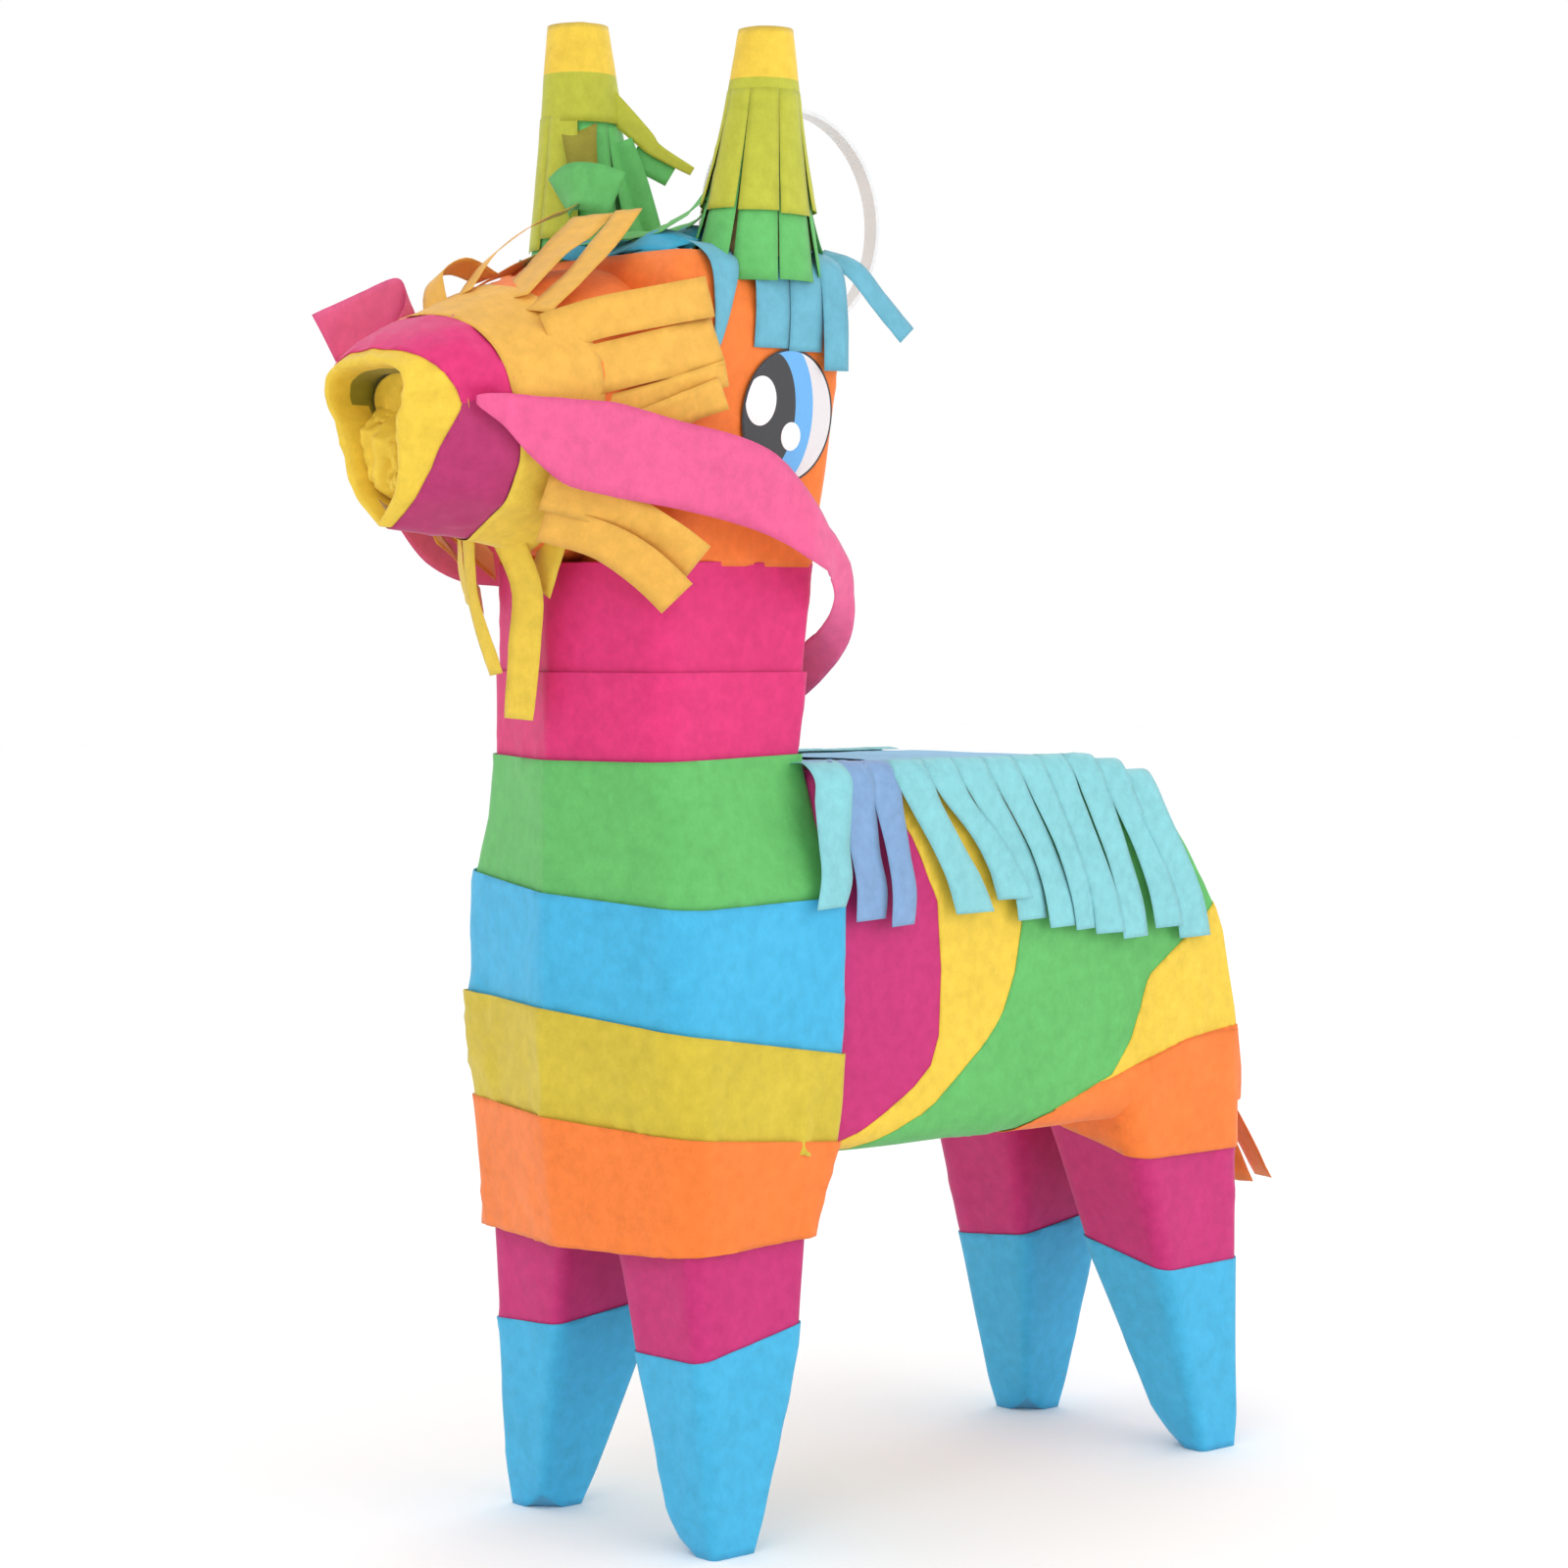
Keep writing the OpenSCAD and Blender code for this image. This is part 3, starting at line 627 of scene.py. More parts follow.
def wrap_column(context):
    sizes = context.scene.pinata_wraps
    for number, (name, key, top, bottom, wrinkle) in enumerate(COLUMN_WRAPS):
        upper = edge_height(COLUMN_EDGES[top])
        lower = edge_height(COLUMN_EDGES[bottom])
        tuck = sizes.lap if bottom != "bottom" else 0.0
        low = COLUMN_EDGES[bottom][0] - 16
        high = COLUMN_EDGES[top][0] + 12
        bm = column_skin(max(low, 70), min(high, 259))
        trim(bm, lambda p: upper(p) - p.z, 2)
        trim(bm, lambda p: p.z - (lower(p) - tuck), 2)
        swell(bm, lap_profile(upper, lower, 0.0, 1.1))
        field = crease_field(sizes.seed, 30 * MM, (1, 1, 1.8))
        swell(bm, lambda p: field(p) * sizes.crease * wrinkle)
        pleats = crease_field(sizes.seed + 5, 9 * MM, (1, 1, 0.2))
        reach = 26 * MM
        depth = (wrinkle - 0.7) * 1.9 * MM
        swell(bm, lambda p: max(0, pleats(p)) * depth * min(1, max(0, 1 - (p.z - lower(p)) / reach)))
        finish_piece(name, bm, paper(key), "shell", [name])
    bm = column_skin(82, 256)
    rim = [e for e in bm.edges if e.is_boundary and e.verts[0].co.z < 84 * MM]
    bmesh.ops.contextual_create(bm, geom=rim)
    face_outwards(bm, lambda c: Vector((0, FEET_LINE + 12 * MM, max(c.z, 0.1))))
    board_liner("column_board", bm, ["chest_tube", "neck_tube", "chest_floor"])


class PINATA_OT_column(bpy.types.Operator):
    """Wrap the neck and chest"""

    bl_idname = "pinata.column"
    bl_label = "Neck and chest"

    def execute(self, context):
        wrap_column(context)
        return {"FINISHED"}


# ---------------------------------------------------------------- legs

LEGS = [
    ("front_left", FRONT_LEG, 1, (55, 0.0, 0.2), 90),
    ("front_right", FRONT_LEG, -1, (55, 0.05, 0.12), 90),
    ("rear_left", REAR_LEG, 1, (59, -0.24, 0.02), 100),
    ("rear_right", REAR_LEG, -1, (60, 0.1, 0.16), 103),
]


def wrap_legs(context):
    sizes = context.scene.pinata_wraps
    for number, (name, table, side, (height, across, along), top) in enumerate(LEGS):
        middle = blend_rows(table, height)
        centre = spot(side * (middle[0] + middle[1]) / 2, (middle[2] + middle[3]) / 2, height)

        def rim(p):
            return height * MM + across * (p.x - centre.x) + along * (p.y - centre.y)

        foot = leg_skin(table, side, 0, height + 12)
        trim(foot, lambda p: rim(p) - p.z, 2)
        field = crease_field(sizes.seed + 20 + number, 22 * MM, (1, 1, 0.6))
        swell(foot, lambda p: (0.35 * MM + field(p) * sizes.crease * 0.8) * min(1, p.z / (8 * MM)))
        settle_sole(foot)
        finish_piece("foot_wrap_" + name, foot, paper("blue"), "shell", ["foot_wrap_" + name])
        upper = leg_skin(table, side, height - 12, top)
        trim(upper, lambda p: p.z - (rim(p) - sizes.lap), 2)
        swell(upper, lambda p: -0.15 * MM + field(p) * sizes.crease * 0.8)
        finish_piece("leg_wrap_" + name, upper, paper("magenta"), "shell", ["leg_wrap_" + name])
        board_liner("leg_board_" + name, leg_skin(table, side, 9, top - 6), ["leg_" + name])


def settle_sole(bm):
    """Keeps the foot on the floor."""
    for v in bm.verts:
        v.co.z = max(v.co.z, 0.0)


class PINATA_OT_legs(bpy.types.Operator):
    """Wrap the four legs and feet"""

    bl_idname = "pinata.legs"
    bl_label = "Legs and feet"

    def execute(self, context):
        wrap_legs(context)
        return {"FINISHED"}


# ---------------------------------------------------------------- barrel and rump

# Slanting edges of the barrel wraps: height, distance back
EDGE_PINK = [(101, 38), (107, 53), (116, 70), (122, 77), (130, 80), (148, 81), (166, 79.5), (184, 70), (203, 52)]
EDGE_YELLOW = [(101, 50), (104, 61), (111, 77.5), (128, 99), (134, 104), (145, 108.5), (160, 111.5), (182, 112), (203, 108)]
EDGE_GREEN = [(101, 112), (106, 124), (114, 147), (123, 155), (141, 163), (158, 188), (168, 198), (203, 217)]
# Edge between the mustard and the orange rump wraps: distance back, height
EDGE_RUMP = [(110, 108), (143, 113), (174, 121.8), (198, 124.5)]


def curve_edge(table):
    """The distance back of a slanting edge at a point's height, in metres of the frame."""

    def at(p):
        return spot(0, blend_rows(table, p.z / MM)[0], 0).y

    return at


def wrap_barrel(context):
    sizes = context.scene.pinata_wraps
    pink, yellow, green = curve_edge(EDGE_PINK), curve_edge(EDGE_YELLOW), curve_edge(EDGE_GREEN)

    def rump_line(p):
        return blend_rows(EDGE_RUMP, (p.y - FEET_LINE) / MM)[0] * MM

    lap = sizes.lap

    def start(p):
        return spot(0, 30 if p.z < 0.172 else 38.5 - (p.z / MM - 172) * 0.17, 0).y

    wraps = [
        ("barrel_wrap_pink", "magenta", start, pink, 0.0, 0.9),
        ("barrel_wrap_yellow", "yellow", lambda p: max(pink(p) - lap, spot(0, 37, 0).y), yellow, 0.25, 1.0),
        ("barrel_wrap_green", "green", lambda p: yellow(p) - lap, green, 0.5, 1.4),
    ]
    for number, (name, key, front, rear, proud, wrinkle) in enumerate(wraps):
        bm = barrel_skin(34, 198.6)
        trim(bm, lambda p: p.y - front(p), 1)
        trim(bm, lambda p: rear(p) - p.y, 1)
        open_ridge(bm)
        field = crease_field(sizes.seed + 60, 34 * MM, (1, 1.5, 1))
        swell(bm, lambda p: proud * MM + field(p) * sizes.crease * wrinkle)
        finish_piece(name, bm, paper(key), "shell", [name])
    for number, (name, key, keep) in enumerate((
        ("rump_wrap_yellow", "yellow", lambda p: p.z - (rump_line(p) - lap)),
        ("rump_wrap_orange", "orange", lambda p: rump_line(p) - p.z),
    )):
        bm = barrel_skin(34, 198.6)
        trim(bm, lambda p: p.y - (green(p) - lap), 1)
        trim(bm, keep, 2)
        open_ridge(bm)
        field = crease_field(sizes.seed + 60, 34 * MM, (1, 1.5, 1))
        swell(bm, lambda p: (0.75 + 0.3 * number) * MM + field(p) * sizes.crease * 1.3)
        if number:
            add_thighs(bm, field, sizes.crease, rump_line)
        finish_piece(name, bm, paper(key), "shell", [name])


def add_thighs(bm, field, crease, rump_line):
    """The orange wrap goes on round the top of each rear leg."""
    for side in (-1, 1):
        thigh = leg_skin(REAR_LEG, side, 78, 123)
        trim(thigh, lambda p: rump_line(p) - 0.3 * MM - p.z, 2)
        trim(thigh, lambda p: p.z - (88.5 + 0.28 * (43 - abs(p.x) / MM)) * MM, 2)
        swell(thigh, lambda p: 0.85 * MM + field(p) * crease)
        merge_into(bm, thigh)


def merge_into(bm, other):
    """Adds another mesh to this one."""
    copy = bpy.data.meshes.new("copy")
    other.to_mesh(copy)
    other.free()
    bm.from_mesh(copy)
    bpy.data.meshes.remove(copy)


def open_ridge(bm):
    """Takes the wrap off the flat of the back, where the sheet and the flap lie."""
    top = [
        f for f in bm.faces
        if all(v.co.z > 202.4 * MM for v in f.verts) and abs(f.calc_center_median().x) < 36 * MM
    ]
    bmesh.ops.delete(bm, geom=top, context="FACES")


def board_barrel():
    bm = barrel_skin(40, 198.6)
    trim(bm, lambda p: p.y - spot(0, 41, 0).y, 1)
    top = [f for f in bm.faces if all(v.co.z > 201 * MM for v in f.verts)]
    bmesh.ops.delete(bm, geom=top, context="FACES")
    middle = spot(0, 110, 152)
    for v in bm.verts:
        away = v.co - middle
        v.co = middle + Vector((away.x * 0.945, away.y * 0.975, away.z * 0.955))
    board_liner("barrel_board", bm, ["flank_left", "flank_right", "belly_panel", "rump_panel"], inset=0.2)


class PINATA_OT_barrel(bpy.types.Operator):
    """Wrap the barrel and the rump on a slant"""

    bl_idname = "pinata.barrel"
    bl_label = "Barrel and rump"

    def execute(self, context):
        wrap_barrel(context)
        board_barrel()
        return {"FINISHED"}


# ---------------------------------------------------------------- head and snout


def tie_slots(bm):
    """Opens the two slots that the hanging tie passes through."""
    low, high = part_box("hanging_tie")
    slots = [(17, 32, 330, 340), (38, 47, 310.5, 324.5)]
    gone = []
    for f in bm.faces:
        c = f.calc_center_median()
        back, height = (c.y - FEET_LINE) / MM, c.z / MM
        for a, b, c0, c1 in slots:
            if abs(c.x) < high.x + 1.6 * MM and a < back < b and c0 < height < c1:
                gone.append(f)
    bmesh.ops.delete(bm, geom=gone, context="FACES")


def split_along_middle(bm):
    """Cuts the head's skin into fine rows where the tie's slots are."""
    for offset in (-4.2, 4.2):
        bmesh.ops.bisect_plane(
            bm, geom=bm.verts[:] + bm.edges[:] + bm.faces[:], dist=1e-7, plane_co=(offset * MM, 0, 0), plane_no=(1, 0, 0)
        )
    for back in (17, 32):
        bmesh.ops.bisect_plane(
            bm, geom=bm.verts[:] + bm.edges[:] + bm.faces[:], dist=1e-7, plane_co=spot(0, back, 0), plane_no=(0, 1, 0)
        )


def slotted_head():
    bm = head_skin()
    bmesh.ops.subdivide_edges(bm, edges=[e for e in bm.edges if e.calc_length() > 20 * MM], cuts=6)
    split_along_middle(bm)
    tie_slots(bm)
    return bm


def wrap_head(context):
    sizes = context.scene.pinata_wraps
    bm = slotted_head()
    root, edges = snout_skin(12, 36)
    swell(root, lambda p: 0.5 * MM)
    merge_into(bm, root)
    field = crease_field(sizes.seed + 100, 26 * MM, (1, 1, 1.6))
    swell(bm, lambda p: 0.2 * MM + field(p) * sizes.crease * 1.1)
    finish_piece("head_wrap", bm, paper("orange"), "shell", ["head_wrap"])
    board_liner("head_board", slotted_head(), ["head_shell"])


class PINATA_OT_head(bpy.types.Operator):
    """Wrap the head"""

    bl_idname = "pinata.head"
    bl_label = "Head"

    def execute(self, context):
        wrap_head(context)
        return {"FINISHED"}


# Front edge of the pink band: height, distance ahead of the front feet
PINK_EDGE = [(262, 73.6), (272, 73.4), (282, 72), (290, 70), (295, 68.6), (299, 71), (304, 75), (309, 78.6), (316, 79.4)]
PINCH = (29.2, -66, 295.6)


def wrap_snout(context):
    sizes = context.scene.pinata_wraps
    bands = [
        ("snout_wrap", "yellow", 16, 52, 0.0),
        ("muzzle_wrap_pink", "pink", 49.2, SNOUT_END, 0.7),
        ("muzzle_wrap_yellow", "yellow", 62, SNOUT_END, 0.3),
    ]
    pinches = [spot(PINCH[0] * side, PINCH[1], PINCH[2]) for side in (1, -1)]
    field = crease_field(sizes.seed + 120, 20 * MM)
    for number, (name, key, near, far, proud) in enumerate(bands):
        bm, edges = snout_skin(near, far)
        if number == 1:
            trim(bm, lambda p: p.y - FEET_LINE + blend_rows(PINK_EDGE, p.z / MM)[0] * MM, 1)
        if number == 2:
            roll_lip(bm, edges)
        swell(bm, lambda p: proud * MM + field(p) * sizes.crease * 1.2)
        swell(bm, lambda p: -2.6 * MM * sum(math.exp(-((p - q).length / (5 * MM)) ** 2) for q in pinches))
        for f in bm.faces:
            c = f.calc_center_median()
            # Painted shade: pink faces below the line of the reins take the darker shaded pink
            if number == 1 and c.z < (295.5 + 0.35 * (c.y - pinches[0].y) / MM) * MM:
                f.material_index = 1
            # Painted shade: inner faces of the rolled lip deep in the muzzle take the shaded olive
            inside = Vector((c.x, 0, c.z - 0.29)).dot(f.normal) < 0
            if number == 2 and inside and c.y > spot(0, -75, 0).y + max(0, 0.3 - c.z) * 0.9:
                f.material_index = 2
        finishes = [paper(key), paper("shaded_pink"), paper("shaded_olive")]
        finish_piece(name, bm, finishes, "shell", [name])
    tuck_tissue(sizes)
    bm, edges = snout_skin(16, 73)
    board_liner("snout_board", bm, ["snout_tube"], 1.6)


def roll_lip(bm, edges):
    """Turns the end of the wrap round the rim and back inside the snout."""
    middle = spot(0, -SNOUT_END, 288)
    for inward, back in ((0.4, -0.4), (1.0, -0.5), (1.5, 0.2), (1.9, 2.2), (2.3, 6.0), (2.6, 11.0), (2.8, 17.0)):
        made = bmesh.ops.extrude_edge_only(bm, edges=edges)["geom"]
        edges = [g for g in made if isinstance(g, bmesh.types.BMEdge)]
        for v in made:
            if isinstance(v, bmesh.types.BMVert):
                flat = v[bm.verts.layers.float_vector["flat"]]
                rim = snout_place(flat.x / 30, flat.y / 60, SNOUT_END)
                pull = middle - rim
                pull.y = 0
                v.co = rim + pull.normalized() * inward * MM + Vector((0, back * MM, 0))


def tuck_tissue(sizes):
    """Crumpled tissue pushed into the open muzzle, deepest under the top of the rim, with painted shade on its deeper
    part.
    """
    bm = bmesh.new()
    bmesh.ops.create_grid(bm, x_segments=72, y_segments=72, size=1)
    folds = crease_field(sizes.seed + 140, 6 * MM, (1.4, 1, 0.8))
    for v in bm.verts:
        x, y = v.co.x, v.co.y
        reach = max(abs(x), abs(y))
        length = math.hypot(x, y) or 1
        x, y = x / length * reach, y / length * reach
        place = snout_place(x * 0.86, 0.5 + 0.41 * y, SNOUT_END - 2)
        hole = min(1, max(0, (y + 0.05 + 0.25 * x) / 0.35))
        edge = min(1, max(0, (reach - 0.72) / 0.28))
        place.y += (1.5 + 9 * hole + 10 * edge * edge * (1 - hole)) * MM
        v.co = place + Vector((0, 1, 0)) * folds(place) * 6 * MM * (1 - 0.6 * hole) * (1 - reach ** 6)
    bmesh.ops.recalc_face_normals(bm, faces=bm.faces[:])
    # Painted shade: tissue deeper in the muzzle takes the shaded olive
    for f in bm.faces:
        f.material_index = 1 if f.calc_center_median().y > spot(0, -66.5, 0).y else 0
    finish_piece(
        "muzzle_tissue", bm, [paper("yellow"), paper("shaded_olive")], "shell", ["muzzle_tissue"],
        thick=0.15,
    )


class PINATA_OT_snout(bpy.types.Operator):
    """Wrap the snout and stuff its open end"""

    bl_idname = "pinata.snout"
    bl_label = "Snout"

    def execute(self, context):
        wrap_snout(context)
        return {"FINISHED"}


# ---------------------------------------------------------------- face fringe

# Each strip: width, outward direction, and its route as (out to the left, back from the front feet, up)
SIDE_STRIPS = [
    (10.5, (1, 0, 0.3), [(30, -47, 313), (35, -34, 317.5), (41.5, -19, 321), (44.6, -6, 323.8)]),
    (12.5, (1, 0, 0.1), [(33.5, -43, 302.5), (38, -30, 306), (43, -17, 309.5), (45.4, -4, 312.6)]),
    (7.0, (1, 0, 0), [(36, -33, 294.5), (41, -21, 298), (44.6, -11, 301.5), (46.4, -2, 304.6)]),
    (8.5, (1, 0, -0.1), [(37, -30, 288), (42, -20, 292.5), (45, -11, 296.5), (46.6, -3, 299.4)]),
    (10.5, (1, -0.2, -0.6), [(29, -47, 274), (36.5, -32, 270), (41, -19.5, 263.8), (42.6, -8.5, 256.6)]),
    (11.0, (1, -0.2, -0.7), [(24, -44, 266.5), (32.5, -32, 262), (38, -22.5, 255.4), (41, -14, 247.4)]),
]
TOP_STRIPS = [
    (5.5, (-0.2, -0.6, 1), [(0, -50, 325), (-7, -37, 335), (-13, -18, 345.5), (-18, -1, 351.8)]),
    (13.0, (0, -0.6, 1), [(14, -47, 322.5), (7, -30, 333.6), (3, -18, 341), (0, -8, 348)]),
    (8.0, (0.3, -0.5, 1), [(25, -46, 319), (20, -28, 331), (15, -15, 340.5), (11, -5, 348.6)]),
    (8.5, (-0.3, -0.6, 1), [(-8, -53, 320.5), (-13, -50, 329), (-15, -41, 333.5), (-17, -30, 331)]),
    (9.0, (-0.5, -0.4, 1), [(-22, -46, 320), (-25, -32, 327), (-27, -18, 334), (-28, -6, 338)]),
]
CHIN_STRIPS = [
    (5.0, (0, -1, 0), [(-8, -43, 263.5), (-9.5, -41, 250), (-8.5, -38, 238), (-7, -35, 228)]),
    (9.0, (0.4, -1, 0), [(1, -38, 264), (3.5, -33, 250), (1.5, -32.5, 234), (0.5, -33.5, 216.5)]),
    (10.0, (0.2, -1, 0), [(9, -29, 263), (7, -29, 257), (3, -29, 250)]),
    (6.0, (-0.6, -1, 0), [(-16, -40, 265), (-18, -38, 255), (-19, -35, 246)]),
]


def cut_strip(bm, width, out, route, chance, flip=1, taper=1.0):
    """A strip of tissue along a listed route, flat against the given outward direction."""
    out = Vector((out[0] * flip, out[1], out[2])).normalized()
    places = [spot(a * flip, b, c) for a, b, c in route]
    points = []
    for i, place in enumerate(places):
        along = places[min(i + 1, len(places) - 1)] - places[max(i - 1, 0)]
        side = along.cross(out).normalized()
        roll = Matrix.Rotation(chance.uniform(-0.2, 0.2) * min(1, i) if chance else 0, 3, along)
        points.append((place, roll @ side))
    ribbon(bm, curve_route(points, width * MM, 14, taper=taper), 3)


def fringe_face(context):
    chance = random.Random(context.scene.pinata_wraps.seed)
    bm, edges = snout_skin(30, 50.5)
    trim(bm, lambda p: -(p.y - FEET_LINE) - (31 + max(0, p.z / MM - 300) * 0.45) * MM, 1)
    swell(bm, lambda p: 1.1 * MM)
    for f in bm.faces:
        f.material_index = 1 if f.calc_center_median().z < 0.287 else 0
    for row in TOP_STRIPS:
        cut_strip(bm, *row, chance)
    for row in SIDE_STRIPS:
        cut_strip(bm, *row, chance)
        cut_strip(bm, *row, chance, -1)
    field = crease_field(31, 9 * MM)
    swell(bm, lambda p: field(p) * 0.45 * MM)
    both = [paper("fringe"), paper("warm_yellow")]
    finish_piece("face_fringe", bm, both, "shell", ["face_fringe"], thick=0.15, inward=False)
    bm = bmesh.new()
    for row in CHIN_STRIPS:
        cut_strip(bm, *row, chance)
    swell(bm, lambda p: field(p) * 0.5 * MM)
    finish_piece("chin_fringe", bm, paper("warm_yellow"), "shell", ["chin_fringe"], thick=0.15, inward=False)


class PINATA_OT_face_fringe(bpy.types.Operator):
    """Cut strips round the root of the snout and under the chin"""

    bl_idname = "pinata.face_fringe"
    bl_label = "Face fringe"

    def execute(self, context):
        fringe_face(context)
        return {"FINISHED"}


# ---------------------------------------------------------------- eyes


def lay_oval(bm, index, centre, normal, size, offset, lift):
    """A flat oval of one ink, kept inside the outline of the sticker."""
    up = (Vector((0, 0, 1)) - normal * normal.z).normalized()
    side = up.cross(normal)
    made = bmesh.ops.create_circle(bm, cap_ends=True, segments=72, radius=1)
    for v in made["verts"]:
        x, y = v.co.x * size[0] + offset[0], v.co.y * size[1] + offset[1]
        edge = math.hypot(x / 14.9, y / 16.8)
        if edge > 1 and index:
            x, y = x / edge, y / edge
        v.co = centre + side * x * MM + up * y * MM + normal * lift * MM
    for f in {f for v in made["verts"] for f in v.link_faces}:
        f.material_index = index
        f.normal_update()
        if f.normal.dot(normal) < 0:
            f.normal_flip()


def stick_eyes(context):
    inks = [
        printed("ink black", linear(34, 34, 36)), printed("ink pale grey", linear(222, 216, 218)),
        printed("ink blue", linear(98, 170, 230)), printed("ink charcoal", linear(46, 46, 50)),
        printed("ink white", linear(246, 240, 240)),
    ]
    for name, side in (("eye_left", 1), ("eye_right", -1)):
        low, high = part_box(name)
        lean = math.atan2(8, 67)
        normal = Vector((side * math.cos(lean), 0, -math.sin(lean)))
        centre = (low + high) / 2 + normal * 0.9 * MM
        bm = bmesh.new()
        ovals = [
            (0, (15.5, 17.4), (0, 0), 0.0), (1, (14.9, 16.8), (0, 0), 0.06), (2, (13.2, 20), (-4.6, 0.4), 0.12),
            (3, (9.2, 15.6), (-6.7, 0.8), 0.18), (4, (5.2, 6.4), (-9.6, 3.6), 0.24), (4, (3.3, 3.7), (1.5, -5.2), 0.24),
        ]
        for index, size, (dx, dy), lift in ovals:
            lay_oval(bm, index, centre, normal, size, (dx * side, dy), lift)
        finish_piece(name, bm, inks, "shell", [name], thick=0.05, smooth=False)


class PINATA_OT_eyes(bpy.types.Operator):
    """Stick on the two printed eyes"""

    bl_idname = "pinata.eyes"
    bl_label = "Eyes"

    def execute(self, context):
        stick_eyes(context)
        return {"FINISHED"}


# ---------------------------------------------------------------- ears

EAR_ROOT = 335
# Each ear: root (out, back), tip (out, back), height of the tip, root radii (across, along), tip radius
EARS = {
    1: ((33.2, 20), (35.2, 21), 394.5, (11.5, 15.5), 5.6),
    -1: ((34.5, 18), (38.5, 17.5), 404, (12.5, 16), 6.8),
}
# Slit strips of the outer layers: bearing from straight out, lower end, lift at the lower end, swing
LEFT_YELLOW = [
    (-36, 347, 0.6, 0), (9, 346.4, 0.6, 0), (54, 348, 1.2, 0), (99, 349, 2, 0), (144, 347, 2, 0), (189, 348, 3, 0),
    (234, 349, 2.0, -4), (279, 347.6, 0.9, -2),
]
LEFT_GREEN = [
    (-36, 329, 0.7, 0), (9, 329.4, 0.7, 0), (54, 331, 1.6, 4), (99, 338, 4, 0), (144, 338.5, 3, 0), (189, 339, 3, 0),
    (234, 336, 3, -4), (279, 329.4, 2.4, -3),
]
RIGHT_YELLOW = [
    (244, 345, 1, 0), (289, 342, 0.5, 0), (334, 344, 0.5, 0), (19, 345, 1, 0), (64, 350, 3, 0),
]
RIGHT_GREEN = [
    (199, 342, 1, 0), (244, 338, 1, 0), (289, 338, 0.5, 0), (334, 337, 0.5, 0), (19, 337, 1, 0), (64, 340, 3, 0),
    (109, 341, 5, 0), (154, 342, 5, 0),
]
# Torn strips of the right ear: layer, width, width at the lower end over that, finish (0 the layer's colour, 1 olive, 2
# the olive of painted shade), route
TORN_STRIPS = [
    ("yellow", 8, 0.3, 1, [(-31.5, 19.5, 385), (-26.8, 23.7, 379), (-22, 28, 372.6), (-19.6, 30, 369.6), (-12.4, 36.3, 364)]),
    ("yellow", 10, 0.7, 2, [(-30, 11, 376), (-27, 9, 371), (-25, 8.5, 364), (-23, 8.5, 358)]),
    ("green", 8.5, 0.9, 0, [(-25, 26, 369), (-21, 29.5, 366.5), (-17, 33, 363.5)]),
    ("green", 13, 1, 0, [(-28, 20, 371), (-25.5, 22.5, 362), (-23, 25, 350), (-21, 27, 339)]),
    ("green", 13, 1, 0, [(-27, 2, 355), (-20, 0, 357.5), (-12, 1, 357), (-5, 4, 354.5)]),
]
# Width, width at the lower end over that, and route of each strip under the ears
BLUE_STRIPS = [
    (13.5, 0.1, [(35, 1.2, 338.5), (42.4, 0.6, 333), (44.0, -1, 322), (43.2, -2.6, 311)]),
    (11.9, 1, [(34, 15.4, 339), (42.6, 15.6, 334), (44.2, 15.8, 323), (43.2, 16, 312)]),
    (11.5, 1, [(34, 27, 339), (42.8, 27.1, 334), (44.4, 27.2, 323), (43.4, 27.4, 311.6)]),
    (8.6, 1, [(34, 36, 339), (42.8, 36.4, 334), (44.8, 36.8, 322), (44.6, 37.2, 307)]),
    (7.5, 1, [(33, 41, 338), (42, 45, 334.5), (46, 51, 326), (49.5, 58, 317)]),
]


def ear_place(side, angle, height, grow):
    """A point on the ear cone, grown outwards. The angle runs from straight out towards the back."""
    root, tip, top, radii, tip_radius = EARS[side]
    u = (height - EAR_ROOT) / (top - EAR_ROOT)
    a = radii[0] + (tip_radius - radii[0]) * u + grow
    b = radii[1] + (tip_radius - radii[1]) * u + grow
    out, back = root[0] + (tip[0] - root[0]) * u, root[1] + (tip[1] - root[1]) * u
    return spot(side * (out + a * math.cos(angle)), back + b * math.sin(angle), height)


def ear_cone(side, low, high, grow, closed):
    """The unslit part of a layer."""
    outline = [(10 * math.cos(math.radians(a)), 10 * math.sin(math.radians(a)), 0) for a in range(0, 360, 15)]
    bm, edges = sleeve(
        outline, steps(low, high, 2.2), lambda x, y, level: ear_place(side, math.atan2(y, x), level, grow), 1.6
    )
    if closed:
        cap = bmesh.ops.contextual_create(bm, geom=edges)["faces"]
        inner = bmesh.ops.inset_region(bm, faces=cap, thickness=0.7 * MM, depth=0)
        for f in cap:
            for v in f.verts:
                v.co.z -= 1.6 * MM
    centre = ear_place(side, 0, 365, 0) * 0.5 + ear_place(side, math.pi, 365, 0) * 0.5
    face_outwards(bm, lambda c: Vector((centre.x, centre.y, min(c.z, high * MM - 0.004))))
    return bm


def ear_strips(bm, side, rows, cut, grow, chance):
    """Strips that hang from the cut line of a layer."""
    for bearing, bottom, kick, swing in rows:
        route = []
        for k in range(15):
            share = k / 14
            height = cut + 1.5 - (cut + 1.5 - bottom) * share
            middle = math.radians(bearing + swing * share * share)
            away = grow + 0.15 + kick * share ** 2.2
            place = ear_place(side, middle, height, away)
            spread = math.radians(22.4 - 0.9 * share)
            low, high = (ear_place(side, middle + turn, height, away) for turn in (-spread, spread))
            route.append((place, (high - low) / 2, place - (low + high) / 2))
        ribbon(bm, route, 4)


